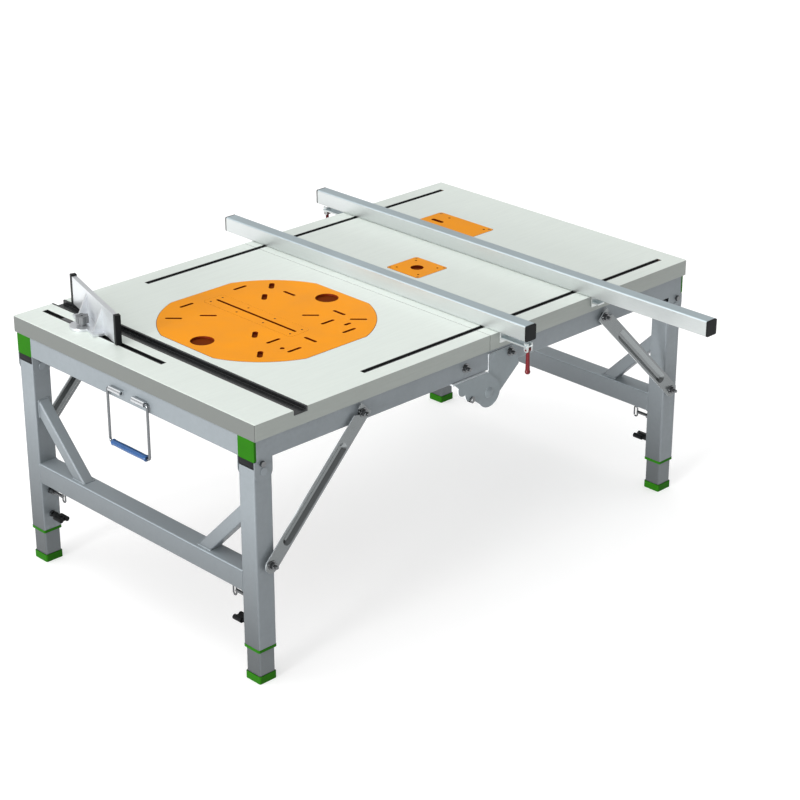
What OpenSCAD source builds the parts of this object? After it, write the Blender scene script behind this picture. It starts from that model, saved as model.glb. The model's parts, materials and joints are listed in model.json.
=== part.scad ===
// Folding workbench: two tabletop halves hinged across the middle, folding leg frames with
// telescopic feet, stamped braces, tool plates, clamped fences and an angle gauge.
// X runs along the rails, -Y is the near side, Z is up, and the floor is z = 0.

/* [Tabletop] */
// Length of the opened top
top_len = 1400; // [1300:10:1600]
// Width of the top
top_w = 850; // [760:10:950]
// Height of the top face above the floor
top_h = 623; // [580:1:720]
// Thickness of the boards
board_t = 39; // [28:1:40]
// Radius of the outer corners of the boards
board_r = 3; // [2:0.5:12]
// Gap where the two halves meet
seam_gap = 0.6; // [0.4:0.1:1.5]

/* [Rails] */
// Width of a rail across its run
rail_w = 52; // [40:1:60]
// Height of a rail
rail_h = 50; // [40:1:60]
// Wall of every square tube
tube_wall = 1.5; // [1.2:0.1:3]
// Corner radius of every square tube
tube_r = 4; // [3:0.5:6]
// From the board's long edge to the rail
edge_inset = 7; // [5:0.2:14]
// From the board's short edge to the end of the frame
end_inset = 2.4; // [1:0.2:8]
// Width of the bearers between the rails
bearer_w = 30; // [20:1:45]
// Thickness of a rail plug's flange
plug_t = 6; // [3:0.5:8]
// Depth of a plug's spigot inside its tube
plug_spigot = 18; // [8:1:30]

/* [Legs] */
// Outer size of the upper leg tube
leg_w = 50; // [44:1:56]
// Outer size of the sliding inner leg
inner_w = 44; // [36:1:45]
// Length of the sliding inner leg
inner_len = 434; // [380:1:440]
// Height of the upper tube's lower end above the floor
leg_low_z = 86; // [70:1:100]
// Outer size of a foot cap
foot_w = 48; // [46:1:52]
// Height of a foot cap
foot_h = 19; // [12:1:30]
// Thickness of a foot cap under the tube
foot_floor = 6; // [3:0.5:8]
// Thickness of the collar's flange under the upper tube
collar_t = 7; // [3:0.5:9]
// How far the collar stands proud of the tube
collar_proud = 0.6; // [0.2:0.1:0.7]
// Height of the middle of the crossbar
crossbar_z = 238; // [210:1:280]
// Size of the gusset tubes in the leg frame
gusset_w = 30; // [20:1:36]
// Reach of a gusset along the crossbar
gusset_reach = 139; // [100:1:170]
// Pitch of the height holes in the inner leg
hole_pitch = 40; // [30:1:50]
// Number of height holes in the inner leg
hole_count = 7; // [3:1:7]
// Radius of a height hole
hole_r = 4.5; // [4:0.1:6]
// Height of the spring pin
pin_z = 187; // [170:1:195]
// Height of the clamp knob
knob_z = 125; // [115:1:135]
// Radius of the leg pivot bolt
pivot_r = 5; // [4:0.5:6]
// Thickness of the ears that hold a leg
ear_t = 2; // [1.6:0.1:2.4]
// From the rail down to the middle of the ear bolt
ear_bolt_drop = 6.8; // [6.6:0.1:8]
// From the leg's middle outward to the ear bolt
ear_bolt_out = 4.4; // [0:0.2:8]
// Width of an ear
ear_w = 50; // [40:1:60]

/* [Braces] */
// From the end of the frame to the brace's bolt on the rail
brace_rail_x = 302; // [280:1:320]
// Height of the brace's bolt below the board
brace_rail_drop = 26; // [20:0.5:38]
// Height of the brace's stud on the leg
brace_leg_z = 287; // [275:0.5:300]
// How far the stud sits inboard of the leg's middle
brace_leg_in = 9; // [0:0.5:12]
// Width of the brace
brace_w = 37; // [28:1:42]
// Thickness of the brace's sheet
brace_t = 3; // [2:0.1:4]
// Depth of the trough pressed into the brace
trough_d = 6; // [3:0.2:6]
// Width of the trough at the brace's face
trough_w = 26; // [16:0.5:28]
// Width of the trough's floor
trough_floor = 7; // [4:0.5:12]
// From the leg stud to the trough
tongue_low = 50; // [40:1:80]
// From the rail bolt to the trough
tongue_up = 78; // [60:1:100]
// Length of the brace past the rail bolt
brace_tail = 13; // [12:0.5:16]
// Radius of the bolts that hold the brace
bolt_r = 4; // [3:0.5:5]

/* [Centre hinge] */
// Thickness of a hinge leaf
leaf_t = 3; // [2:0.1:3.4]
// Radius of the round lobe of a leaf
lobe_r = 36; // [28:1:42]
// Radius of the hinge pin
hinge_pin_r = 8; // [5:0.5:10]
// Length of a leaf along its rail
leaf_len = 108; // [90:1:130]

/* [Tool plates] */
// Thickness of the tool plates
plate_t = 6; // [4:0.5:8]
// Radius that rounds the saw plate
saw_r = 252; // [240:1:270]
// Distance across the flats of the saw plate
saw_flats = 470; // [430:1:500]
// Middle of the saw plate from the fold
saw_x = 296; // [285:1:310]
// Width of the mounting slots
slot_w = 8; // [6:0.5:10]
// Length of the mounting slots
slot_len = 40; // [30:1:44]
// Length of the saw blade's slot
blade_slot = 279; // [200:1:285]
// Width of the saw blade's slot
blade_w = 7; // [5:0.5:12]
// Width of the insert round the blade
insert_w = 62; // [50:1:66]
// Length of the insert round the blade
insert_len = 308; // [295:1:312]
// Thickness of the insert
insert_t = 3; // [2:0.5:4]
// Radius of the finger holes
finger_r = 27.5; // [20:0.5:30]
// Middle of the router plate from the fold
router_x = 188; // [170:1:200]
// Width of the router plate along the rails
router_w = 104; // [90:1:120]
// Length of the router plate across the top
router_len = 109; // [95:1:130]
// Radius of the router plate's bit hole
bit_r = 16; // [10:0.5:25]
// Radius of the router's fixing holes
router_hole_r = 2.75; // [2:0.25:4]
// Middle of the jigsaw plate from the fold
jigsaw_x = 468; // [450:1:480]
// Middle of the jigsaw plate from the middle of the top
jigsaw_y = 154; // [140:1:170]
// Width of the jigsaw plate along the rails
jigsaw_w = 110; // [95:1:130]
// Length of the jigsaw plate across the top
jigsaw_len = 190; // [170:1:210]
// Radius of the jigsaw's fixing holes
jigsaw_hole_r = 3; // [2:0.25:4]

/* [Tracks] */
// From the board's long edge to the middle of a T-slot
track_in = 49.5; // [40:0.5:60]
// Width of a T-slot track
track_w = 14; // [13:0.5:18]
// Depth of a T-slot track
track_d = 12; // [10:0.5:16]
// Mouth of a T-slot
track_mouth = 8; // [6:0.5:10]
// From the fold to the left end of the T-slots
track_left = 350; // [300:5:400]
// From the fold to the right end of the T-slots
track_right = 655; // [600:5:670]
// From the board's short edge to the middle of the mitre track
mitre_in = 127.5; // [120:0.5:140]
// Width of the mitre track
mitre_w = 38; // [30:1:46]
// Wall of the mitre track
mitre_wall = 5; // [2:0.5:8]
// From the board's short edge to the middle of the gauge slot
gauge_in = 72; // [60:1:80]
// Width of the gauge slot's liner
liner_w = 14; // [8:0.5:16]
// Wall of the gauge slot's liner
liner_wall = 1.5; // [1:0.25:2]

/* [Fences] */
// Width of the fence tubes
fence_w = 34; // [28:1:40]
// Height of the fence tubes
fence_h = 38; // [30:1:45]
// From the fold to the first fence
fence1_x = 23; // [15:1:60]
// From the fold to the second fence
fence2_x = 336; // [300:1:400]
// Reach of both fences past the board's far edge
far_over = 102; // [90:1:130]
// Reach of the first fence past the board's near edge
near1_over = 87; // [86:1:130]
// Reach of the second fence past the board's near edge
near2_over = 350; // [200:5:400]
// Width of the jaws under a fence
jaw_w = 22; // [14:1:28]
// Thickness of the jaws
jaw_t = 4; // [3:0.5:6]

/* [Angle gauge] */
// Length of the gauge's fence
gauge_len = 300; // [240:5:320]
// Height of the gauge's fence
gauge_h = 68; // [50:1:80]
// Thickness of the gauge's fence
gauge_t = 12; // [8:1:16]
// Turn of the gauge from square to the rails
gauge_turn = 17; // [0:1:30]
// Where the gauge stands across the top
gauge_y = 255; // [230:1:270]

/* [Carry handle] */
// Width of the bail between its sides
bail_w = 141; // [110:1:170]
// Drop of the bail below its sleeves
bail_drop = 130; // [90:1:150]
// Radius of the bail's wire
wire_r = 3.2; // [2:0.1:4]
// Length of a sleeve
sleeve_len = 43; // [30:1:50]
// Outer radius of a sleeve
sleeve_r = 6.5; // [5.5:0.25:8]
// Radius of the grip
grip_r = 8; // [6:0.25:10]

/* [Clearances] */
// Radial clearance of a running fit
run_fit = 0.05; // [0.02:0.01:0.1]
// Gap between faces that slide past each other
slide_gap = 0.3; // [0.2:0.05:0.6]
// Gap round a plate let into a board
plate_gap = 0.5; // [0.2:0.1:1]
// Gap between a fence and the jaws bolted under it
seat_gap = 0.1; // [0.05:0.05:0.3]

/* [Hidden] */

$fn = 48;
cut = 1;

// Frame heights and edges
frame_end = top_len / 2 - end_inset;
rail_face = top_w / 2 - edge_inset;
rail_in = rail_face - rail_w;
under_z = top_h - board_t;
rail_z = under_z - rail_h;
half_seam = seam_gap / 2;
fold_gap = 1;

rail_mid_y = rail_face - rail_w / 2;
track_y = top_w / 2 - track_in;
mitre_x = top_len / 2 - mitre_in;
gauge_x = top_len / 2 - gauge_in;

// Leg places, with the folded leg passing just under the rail and between the ears
leg_x = frame_end - leg_w / 2;
leg_out_y = rail_face - ear_t - slide_gap;
leg_y = leg_out_y - leg_w / 2;
leg_in_y = leg_out_y - leg_w;
ear_in_y = leg_in_y - slide_gap - ear_t;
leg_pivot_z = rail_z - fold_gap - leg_w / 2;
hinge_z = leg_pivot_z - leg_w / 2 - fold_gap;
ear_bolt_x = leg_x + ear_bolt_out;
ear_bolt_z = rail_z - ear_bolt_drop;
ear_nut_r = 7.2;
inner_face_y = leg_y - inner_w / 2;
inner_outer_y = leg_y + inner_w / 2;
inner_low_z = foot_floor;

// Layers outward from the rail's face: leaf, leaf, brace, washer, nut
leaf_out = rail_face + leaf_t;
leaf2_in = leaf_out + 0.2;
leaf2_out = leaf2_in + leaf_t;
brace_in = leaf2_out + 0.6;
brace_out = brace_in + brace_t;
spacer_out = brace_in - slide_gap;
washer_in = brace_out + slide_gap;
washer_t = 1.5;
nut_h = 6.5;
thread_end = 8;
nut_r = 8.5;
washer_r = 11;
spacer_r = 9;

// Brace run from the leg stud to the rail bolt
brace_x0 = leg_x - brace_leg_in;
brace_z0 = brace_leg_z;
brace_x1 = frame_end - brace_rail_x;
brace_z1 = under_z - brace_rail_drop;
brace_dx = brace_x0 - brace_x1;
brace_dz = brace_z1 - brace_z0;
brace_len = sqrt(brace_dx * brace_dx + brace_dz * brace_dz);
brace_turn = atan2(brace_dz, brace_dx);

// Carry handle on the left end rail
sleeve_x = frame_end + sleeve_r;
sleeve_z = under_z - rail_h / 2 - 3;
bail_mid_y = -1.5;
bend_r = 6;
grip_len = 122;

// Fences stand on the top, clear by the sliding gap
fence_z = top_h + slide_gap;
fence_far = top_w / 2 + far_over;
fence1_near = top_w / 2 + near1_over;
fence2_near = top_w / 2 + near2_over;
jaw_z = top_h - 12;

// The origin is below the middle of the whole object
far_left = sleeve_x + max(sleeve_r, grip_r);
mid_x = (top_len / 2 - far_left) / 2;
mid_y = (fence_far - fence2_near) / 2;

// Shared shapes
module place() translate([-mid_x, -mid_y, 0]) children();

// A piece drawn for the left near corner, carried to side sx (-1 left) and row sy (-1 near)
module corner(sx, sy)
    mirror([sx > 0 ? 1 : 0, 0, 0]) mirror([0, sy > 0 ? 1 : 0, 0]) children();

module both_rows(sx) {
    corner(sx, -1) children();
    corner(sx, 1) children();
}

module rounded(w, h, r) {
    square([w - 2 * r, h], center = true);
    square([w, h - 2 * r], center = true);
    for (sx = [-1, 1], sy = [-1, 1])
        translate([sx * (w / 2 - r), sy * (h / 2 - r)]) circle(r);
}

module hollow(w, h, wall)
    difference() {
        rounded(w, h, tube_r);
        rounded(w - 2 * wall, h - 2 * wall, max(tube_r - wall, 0.5));
    }

// Square tube along Z from the origin
module tube_z(len, w, h, wall) linear_extrude(len) hollow(w, h, wall);

// Square tube along X; w lies along Y and h along Z
module tube_x(len, w, h, wall) rotate([90, 0, 90]) tube_z(len, w, h, wall);

// Square tube along Y; w lies along X and h along Z
module tube_y(len, w, h, wall) rotate([-90, 0, 0]) tube_z(len, w, h, wall);

// Round bar along Y between two places
module rod_y(y0, y1, r) translate([0, y0, 0]) rotate([-90, 0, 0]) cylinder(h = y1 - y0, r = r);

module hex_y(y0, y1, r)
    translate([0, y0, 0]) rotate([-90, 0, 0]) rotate(30) cylinder(h = y1 - y0, r = r, $fn = 6);

module slot2d(len, w) {
    square([len - w, w], center = true);
    for (s = [-1, 1]) translate([s * (len - w) / 2, 0]) circle(w / 2);
}

// Boards
module saw_outline(grow)
    intersection() {
        circle(saw_r + grow, $fn = 96);
        square(saw_flats + 2 * grow, center = true);
    }

saw_ledge = 15;
plate_ledge = 12;

module board_blank(sx)
    intersection() {
        translate([0, 0, under_z]) linear_extrude(board_t) rounded(top_len, top_w, board_r);
        translate([sx > 0 ? half_seam : -top_len, -top_w, under_z - cut])
            cube([top_len - half_seam, 2 * top_w, board_t + 2 * cut]);
    }

module sunk(depth) translate([0, 0, top_h - depth]) linear_extrude(depth + cut) children();

module left_board()
    color("whitesmoke") place() difference() {
        board_blank(-1);
        translate([-saw_x, 0, 0]) {
            sunk(plate_t) saw_outline(plate_gap);
            sunk(board_t + cut) saw_outline(-saw_ledge);
        }
        for (sy = [-1, 1])
            sunk(track_d) translate([-track_left, sy * track_y - track_w / 2])
                square([track_left, track_w]);
        sunk(track_d) translate([-mitre_x, 0]) square([mitre_w, top_w + 2 * cut], center = true);
        sunk(liner_d) translate([-gauge_x - liner_w / 2, liner_y0])
            square([liner_w, liner_y1 - liner_y0]);
    }

module right_board()
    color("whitesmoke") place() difference() {
        board_blank(1);
        translate([router_x, 0, 0]) {
            sunk(plate_t) rounded(router_w + 2 * plate_gap, router_len + 2 * plate_gap, 8);
            sunk(board_t + cut)
                rounded(router_w - 2 * plate_ledge, router_len - 2 * plate_ledge, 6);
        }
        translate([jigsaw_x, jigsaw_y, 0]) {
            sunk(plate_t) rounded(jigsaw_w + 2 * plate_gap, jigsaw_len + 2 * plate_gap, 8);
            sunk(board_t + cut)
                rounded(jigsaw_w - 2 * plate_ledge, jigsaw_len - 2 * plate_ledge, 6);
        }
        for (sy = [-1, 1])
            sunk(track_d) translate([-cut, sy * track_y - track_w / 2])
                square([track_right + cut, track_w]);
    }

// Tracks let into the boards
module track_profile() {
    difference() {
        translate([-track_w / 2, 0]) square([track_w, track_d]);
        translate([-track_mouth / 2, 3]) square([track_mouth, track_d]);
        translate([-track_mouth / 2 - 2, 3]) square([track_mouth + 4, 4.5]);
    }
}

module track(x0, x1)
    for (sy = [-1, 1])
        translate([x0, sy * track_y, top_h - track_d])
            rotate([90, 0, 90]) linear_extrude(x1 - x0) track_profile();

liner_d = 9;
liner_y0 = -39;
liner_y1 = top_w / 2 - 25;

module left_tracks()
    color("black") place() {
        mitre_channel();
        track(-track_left, -half_seam);
        translate([-gauge_x, 0, 0]) difference() {
            translate([-liner_w / 2, liner_y0, top_h - liner_d])
                cube([liner_w, liner_y1 - liner_y0, liner_d]);
            translate([-liner_w / 2 + liner_wall, liner_y0 + liner_wall, top_h - liner_d + liner_wall])
                cube([liner_w - 2 * liner_wall, liner_y1 - liner_y0 - 2 * liner_wall, liner_d]);
        }
    }

module right_tracks() color("black") place() track(half_seam, track_right);

module mitre_channel()
    translate([-mitre_x, 0, top_h - track_d]) difference() {
        translate([-mitre_w / 2, -top_w / 2, 0]) cube([mitre_w, top_w, track_d]);
        translate([-mitre_w / 2 + mitre_wall, -top_w / 2 - cut, 3])
            cube([mitre_w - 2 * mitre_wall, top_w + 2 * cut, track_d]);
    }

// Tool plates; each slot is [along the rails, across the top, turn]
saw_slots = [
    [-150, 153, -45], [-77, 196, 0], [-82, 111, -45], [86, 196, 0], [145, 86, 90],
    [88, -52, -45], [146, -86, 90], [88, -110, 0], [150, -147, -45], [88, -182, 0],
    [-11, -161, 90], [-76, -109, 0], [-76, -180, 0]];
wide_slots = [[88, 110], [148, 153], [-81, -52], [-148, -147]];
finger_x = 189;
blade_x = -3;
blade_y = 36;
insert_screw_x = 18;
insert_screw_y = 93;
screw_r = 2.5;

module saw_plate()
    color("orange") place() translate([-saw_x, 0, top_h - plate_t]) difference() {
        linear_extrude(plate_t) saw_outline(0);
        for (s = saw_slots)
            translate([s[0], s[1], -cut]) rotate(s[2])
                linear_extrude(plate_t + 2 * cut) slot2d(slot_len, slot_w);
        for (s = wide_slots)
            translate([s[0], s[1], -cut]) rotate(45)
                linear_extrude(plate_t + 2 * cut) slot2d(slot_len - 3, slot_w + 5);
        for (s = [-1, 1])
            translate([s * finger_x, 3, -cut]) cylinder(h = plate_t + 2 * cut, r = finger_r);
        translate([112, -151, -cut]) linear_extrude(plate_t + 2 * cut) slot2d(20, slot_w);
        translate([-90, -155, -cut]) cylinder(h = plate_t + 2 * cut, r = 5.5);
        translate([blade_x, blade_y, 0]) {
            translate([0, 0, plate_t - insert_t]) linear_extrude(insert_t + cut)
                rounded(insert_w + plate_gap, insert_len + plate_gap, 10);
            translate([0, 0, -cut]) linear_extrude(plate_t + 2 * cut)
                rounded(insert_w - 48, insert_len - 20, 4);
        }
    }

module saw_insert()
    color("orange") place()
        translate([blade_x - saw_x, blade_y, top_h - insert_t]) difference() {
            linear_extrude(insert_t) rounded(insert_w, insert_len, 10);
            translate([0, 0, -cut]) linear_extrude(insert_t + 2 * cut)
                rotate(90) slot2d(blade_slot, blade_w);
            for (sx = [-1, 1], i = [-1.5:1:1.5])
                translate([sx * insert_screw_x, i * insert_screw_y, -cut])
                    cylinder(h = insert_t + 2 * cut, r = screw_r);
        }

router_hole_x = 33;
router_hole_y = 37;

module router_plate()
    color("orange") place() translate([router_x, 0, top_h - plate_t]) difference() {
        linear_extrude(plate_t) rounded(router_w, router_len, 8);
        translate([0, 0, -cut]) cylinder(h = plate_t + 2 * cut, r = bit_r);
        for (sx = [-1, 1], sy = [-1, 1])
            translate([sx * router_hole_x, sy * router_hole_y, -cut])
                cylinder(h = plate_t + 2 * cut, r = router_hole_r);
    }

jigsaw_hole_x = 37;
jigsaw_hole_y = 61.5;
jigsaw_hole_mid = -14;
jigsaw_slot_y = 54;

module jigsaw_plate()
    color("orange") place() translate([jigsaw_x, jigsaw_y, top_h - plate_t]) difference() {
        linear_extrude(plate_t) rounded(jigsaw_w, jigsaw_len, 8);
        translate([0, jigsaw_slot_y, -cut]) linear_extrude(plate_t + 2 * cut)
            rotate(90) slot2d(slot_len, slot_w + 4);
        for (sx = [-1, 1], sy = [-1, 1])
            translate([sx * jigsaw_hole_x, jigsaw_hole_mid + sy * jigsaw_hole_y, -cut])
                cylinder(h = plate_t + 2 * cut, r = jigsaw_hole_r);
    }

// Rails, with the ears that carry the legs welded to them
ear_low = 26;

module ear_profile(up)
    union() {
        translate([-ear_w / 2, 0]) square([ear_w, up]);
        intersection() {
            circle(ear_w / 2);
            translate([-ear_w / 2, -ear_low - 1]) square([ear_w, ear_low + 2]);
        }
    }

// Holes of an ear for the leg's pivot and for the bolt above it
module ear_holes(y0, y1) {
    translate([-leg_x, 0, leg_pivot_z]) rod_y(y0 - cut, y1 + cut, pivot_r + run_fit);
    translate([-ear_bolt_x, 0, ear_bolt_z]) rod_y(y0 - cut, y1 + cut, bolt_r);
}

// The outer ear carries on the rail's outer wall below the rail
module outer_ear()
    difference() {
        translate([-leg_x, -rail_face + ear_t, leg_pivot_z]) rotate([90, 0, 0])
            linear_extrude(ear_t) ear_profile(rail_z + tube_r - leg_pivot_z);
        translate([-leg_x - ear_w, -rail_face + tube_wall, rail_z])
            cube([2 * ear_w, ear_t, tube_r + cut]);
        translate([-frame_end - cut, -rail_face - cut, rail_z])
            cube([plug_t + cut, ear_t + 2 * cut, tube_r + cut]);
        ear_holes(-rail_face, -rail_face + ear_t);
    }

// The inner ear stands on the rail's inner wall, relieved below the rail for the leg
module inner_ear()
    difference() {
        translate([-leg_x, -ear_in_y, leg_pivot_z]) rotate([90, 0, 0])
            linear_extrude(rail_in - ear_in_y) ear_profile(under_z - leg_pivot_z);
        translate([-leg_x - ear_w, -rail_in - cut, leg_pivot_z - ear_w])
            cube([2 * ear_w, rail_in + cut - leg_in_y + slide_gap, rail_z - leg_pivot_z + ear_w]);
        ear_holes(-rail_in, -ear_in_y);
    }

module side_rail()
    difference() {
        translate([-frame_end + plug_t, -rail_mid_y, rail_z + rail_h / 2])
            tube_x(frame_end - plug_t - half_seam, rail_w, rail_h, tube_wall);
        translate([-brace_x1, 0, brace_z1]) rod_y(-rail_face - cut, -rail_in + cut, bolt_r);
    }

module side_rails(sx)
    color("silver") place() both_rows(sx) {
        side_rail();
        outer_ear();
        inner_ear();
    }

module left_side_rails() side_rails(-1);
module right_side_rails() side_rails(1);

seam_bearer_x = 5;

module bearer(x0, w, reach = rail_in)
    translate([x0 + w / 2, -reach, rail_z + rail_h / 2]) tube_y(2 * reach, w, rail_h, tube_wall);

module left_cross_rails()
    color("silver") place() {
        bearer(-frame_end, ear_w, ear_in_y);
        bearer(-mitre_x - bearer_w / 2, bearer_w);
        bearer(-seam_bearer_x - bearer_w, bearer_w);
        handle_sleeves();
    }

module right_cross_rails()
    color("silver") place() {
        bearer(frame_end - ear_w, ear_w, ear_in_y);
        bearer(jigsaw_x - jigsaw_w / 2 - 40 - bearer_w, bearer_w);
        bearer(seam_bearer_x, bearer_w);
    }

module rail_plugs(sx)
    color("forestgreen") place() both_rows(sx)
        translate([-frame_end, -rail_mid_y, rail_z + rail_h / 2]) rotate([90, 0, 90]) {
            linear_extrude(plug_t) rounded(rail_w, rail_h, tube_r);
            linear_extrude(plug_t + plug_spigot) difference() {
                rounded(rail_w - 2 * tube_wall, rail_h - 2 * tube_wall, tube_r - tube_wall);
                rounded(rail_w - 2 * tube_wall - 6, rail_h - 2 * tube_wall - 6, 1);
            }
        }

module left_rail_plugs() rail_plugs(-1);
module right_rail_plugs() rail_plugs(1);

// Centre hinge: the left leaf lies outside the right one and hangs under its rail
leaf_drop = 4;
stop_x = 56;
stop_r = 4;

module left_leaf_profile()
    difference() {
        union() {
            circle(lobe_r);
            polygon([
                [-leaf_len - 6, rail_z - hinge_z], [-6, rail_z - hinge_z], [lobe_r * 0.8, lobe_r * 0.6],
                [0, 0], [-30, -20], [-stop_x - 6, 4]]);
            translate([-stop_x - 4, 16]) circle(18);
            translate([-stop_x - 28, 33]) circle(17);
        }
        translate([-leaf_len * 2, rail_z - hinge_z]) square([leaf_len * 3, lobe_r]);
        circle(hinge_pin_r);
        translate([-stop_x, -1]) circle(stop_r);
    }

module left_hinge_leaves()
    color("gray") place() both_rows(-1) {
        translate([0, -leaf2_in, hinge_z]) rotate([90, 0, 0])
            linear_extrude(leaf_t) left_leaf_profile();
        translate([-leaf_len - 6, -leaf2_in, rail_z - leaf_drop])
            cube([leaf_len, rail_w - 8, leaf_drop]);
    }

module right_leaf_profile()
    difference() {
        union() {
            circle(lobe_r - 4);
            polygon([
                [half_seam, 0], [half_seam, under_z - hinge_z - 9],
                [leaf_len * 0.84, under_z - hinge_z - 9], [leaf_len * 0.94, rail_z - hinge_z - 10],
                [22, -23]]);
        }
        circle(hinge_pin_r + run_fit);
        translate([leaf_bolt_x, leaf_bolt_z - hinge_z]) circle(bolt_r);
    }

leaf_bolt_x = 72;
leaf_bolt_z = under_z - 22;

module right_hinge_leaves()
    color("gray") place() both_rows(-1)
        translate([0, -rail_face, hinge_z]) rotate([90, 0, 0])
            linear_extrude(leaf_t) right_leaf_profile();

module hinge_pins()
    color("silver") place() both_rows(-1) translate([0, 0, hinge_z]) {
        rod_y(-leaf2_out, -rail_face + slide_gap, hinge_pin_r);
        translate([0, -leaf2_out, 0]) intersection() {
            rod_y(-4, 0, hinge_pin_r + 5);
            translate([0, 22, 0]) sphere(26);
        }
        rod_y(-rail_face + slide_gap, -rail_face + slide_gap + 2, hinge_pin_r + 4);
        hex_y(-rail_face + slide_gap + 2, -rail_face + slide_gap + 9, hinge_pin_r + 3);
    }

// Bolts through the rails; each stands out past its nut
module nut_stack(y_face) {
    rod_y(y_face - washer_t, y_face, washer_r);
    hex_y(y_face - washer_t - nut_h, y_face - washer_t, nut_r);
    rod_y(y_face - washer_t - nut_h - thread_end, y_face - washer_t - nut_h, bolt_r);
}

module rail_bolt()
    translate([-brace_x1, 0, brace_z1]) {
        rod_y(-washer_in, -rail_in, bolt_r);
        rod_y(-spacer_out, -rail_face, spacer_r);
        nut_stack(-washer_in);
        hex_y(-rail_in, -rail_in + nut_h, nut_r);
    }

module leaf_bolt(face)
    translate([-leaf_bolt_x, 0, leaf_bolt_z]) {
        if (face > rail_face) rod_y(-face, -rail_face, bolt_r);
        nut_stack(-face);
    }

module stop_bolt()
    translate([-stop_x, 0, hinge_z - 1]) {
        rod_y(-leaf2_out - 4, -leaf2_in + 10, stop_r);
        hex_y(-leaf2_out - 3, -leaf2_out, nut_r);
        hex_y(-leaf2_in, -leaf2_in + nut_h, nut_r);
    }

// Bolt across the ears above the leg's pivot
module ear_bolt()
    translate([-ear_bolt_x, 0, ear_bolt_z]) {
        rod_y(-rail_face, -ear_in_y, bolt_r);
        for (y = [-rail_face - nut_h, -ear_in_y]) translate([0, y, 0]) rotate([-90, 0, 0])
            cylinder(h = nut_h, r = ear_nut_r, $fn = 6);
    }

module left_frame_bolts()
    color("dimgray") place() both_rows(-1) {
        ear_bolt();
        rail_bolt();
        leaf_bolt(rail_face);
        stop_bolt();
    }

module right_frame_bolts()
    color("dimgray") place() both_rows(1) {
        ear_bolt();
        rail_bolt();
        leaf_bolt(leaf_out);
    }

// Leg frames
barrel_r = 9;
barrel_len = 12;
lock_r = 4;
lock_nut_h = 7;

// The leg's top is cut to a crown round the pivot, so it turns clear of the ear bolt
leg_crown = sqrt(pow(ear_bolt_z - leg_pivot_z, 2) + pow(ear_bolt_out, 2)) - bolt_r - 0.5;
leg_lip = 9;

module leg_tube()
    difference() {
        intersection() {
            translate([-leg_x, -leg_y, leg_low_z])
                tube_z(leg_pivot_z + leg_w / 2 - leg_low_z, leg_w, leg_w, tube_wall);
            union() {
                translate([-leg_x - leg_w, -leg_y - leg_w, 0])
                    cube([2 * leg_w, 2 * leg_w, leg_pivot_z - fold_gap]);
                translate([-leg_x, 0, leg_pivot_z]) rod_y(-leg_y - leg_w, -leg_y + leg_w, leg_crown);
                translate([-leg_x - leg_w, -leg_y - leg_w, 0])
                    cube([leg_w - ear_bolt_out, 2 * leg_w, leg_pivot_z + leg_lip]);
            }
        }
        translate([-leg_x, 0, leg_pivot_z]) rod_y(-leg_y - leg_w, -leg_y + leg_w, pivot_r);
        translate([-brace_x0, 0, brace_z0]) rod_y(-rail_face - cut, -leg_y, bolt_r);
        for (z = [pin_z, knob_z])
            translate([-leg_x, 0, z]) rod_y(-leg_y, -leg_in_y + cut, lock_r + run_fit);
    }

module leg_tubes(sx) color("silver") place() both_rows(sx) leg_tube();
module left_leg_tubes() leg_tubes(-1);
module right_leg_tubes() leg_tubes(1);

module gusset()
    intersection() {
        translate([-leg_x, -leg_in_y + gusset_reach, crossbar_z + leg_w / 2]) rotate([45, 0, 0])
            translate([0, 0, -gusset_w]) tube_z(2 * gusset_reach, gusset_w, gusset_w, tube_wall);
        translate([-leg_x - leg_w, -leg_in_y, crossbar_z + leg_w / 2])
            cube([2 * leg_w, 2 * gusset_reach, 2 * gusset_reach]);
    }

module leg_crossbar(sx)
    color("silver") place() {
        corner(sx, -1) translate([-leg_x, -leg_in_y, crossbar_z])
            tube_y(2 * leg_in_y, leg_w, leg_w, tube_wall);
        both_rows(sx) gusset();
    }

module left_leg_crossbar() leg_crossbar(-1);
module right_leg_crossbar() leg_crossbar(1);

collar_up = 28;

module leg_collars(sx)
    color("forestgreen") place() both_rows(sx)
        translate([-leg_x, -leg_y, leg_low_z - collar_t]) difference() {
            union() {
                linear_extrude(collar_t)
                    rounded(leg_w + 2 * collar_proud, leg_w + 2 * collar_proud, tube_r);
                linear_extrude(collar_t + collar_up)
                    rounded(leg_w - 2 * tube_wall, leg_w - 2 * tube_wall, tube_r - tube_wall);
            }
            translate([0, 0, -cut]) linear_extrude(collar_t + collar_up + 2 * cut)
                rounded(inner_w + 2 * slide_gap, inner_w + 2 * slide_gap, tube_r);
        }

module left_leg_collars() leg_collars(-1);
module right_leg_collars() leg_collars(1);

// Low rivet that the leg turns on
rivet_head = 1.4;

module pivot_rivet()
    translate([-leg_x, 0, leg_pivot_z]) {
        rod_y(-rail_face - slide_gap, -ear_in_y + slide_gap, pivot_r);
        rod_y(-rail_face - slide_gap - rivet_head, -rail_face - slide_gap, pivot_r + 4);
        rod_y(-ear_in_y + slide_gap, -ear_in_y + slide_gap + rivet_head, pivot_r + 4);
    }

module brace_stud()
    translate([-brace_x0, 0, brace_z0]) {
        rod_y(-washer_in, -leg_out_y + tube_wall + 0.6, bolt_r);
        rod_y(-spacer_out, -leg_out_y, spacer_r);
        nut_stack(-washer_in);
    }

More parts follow.
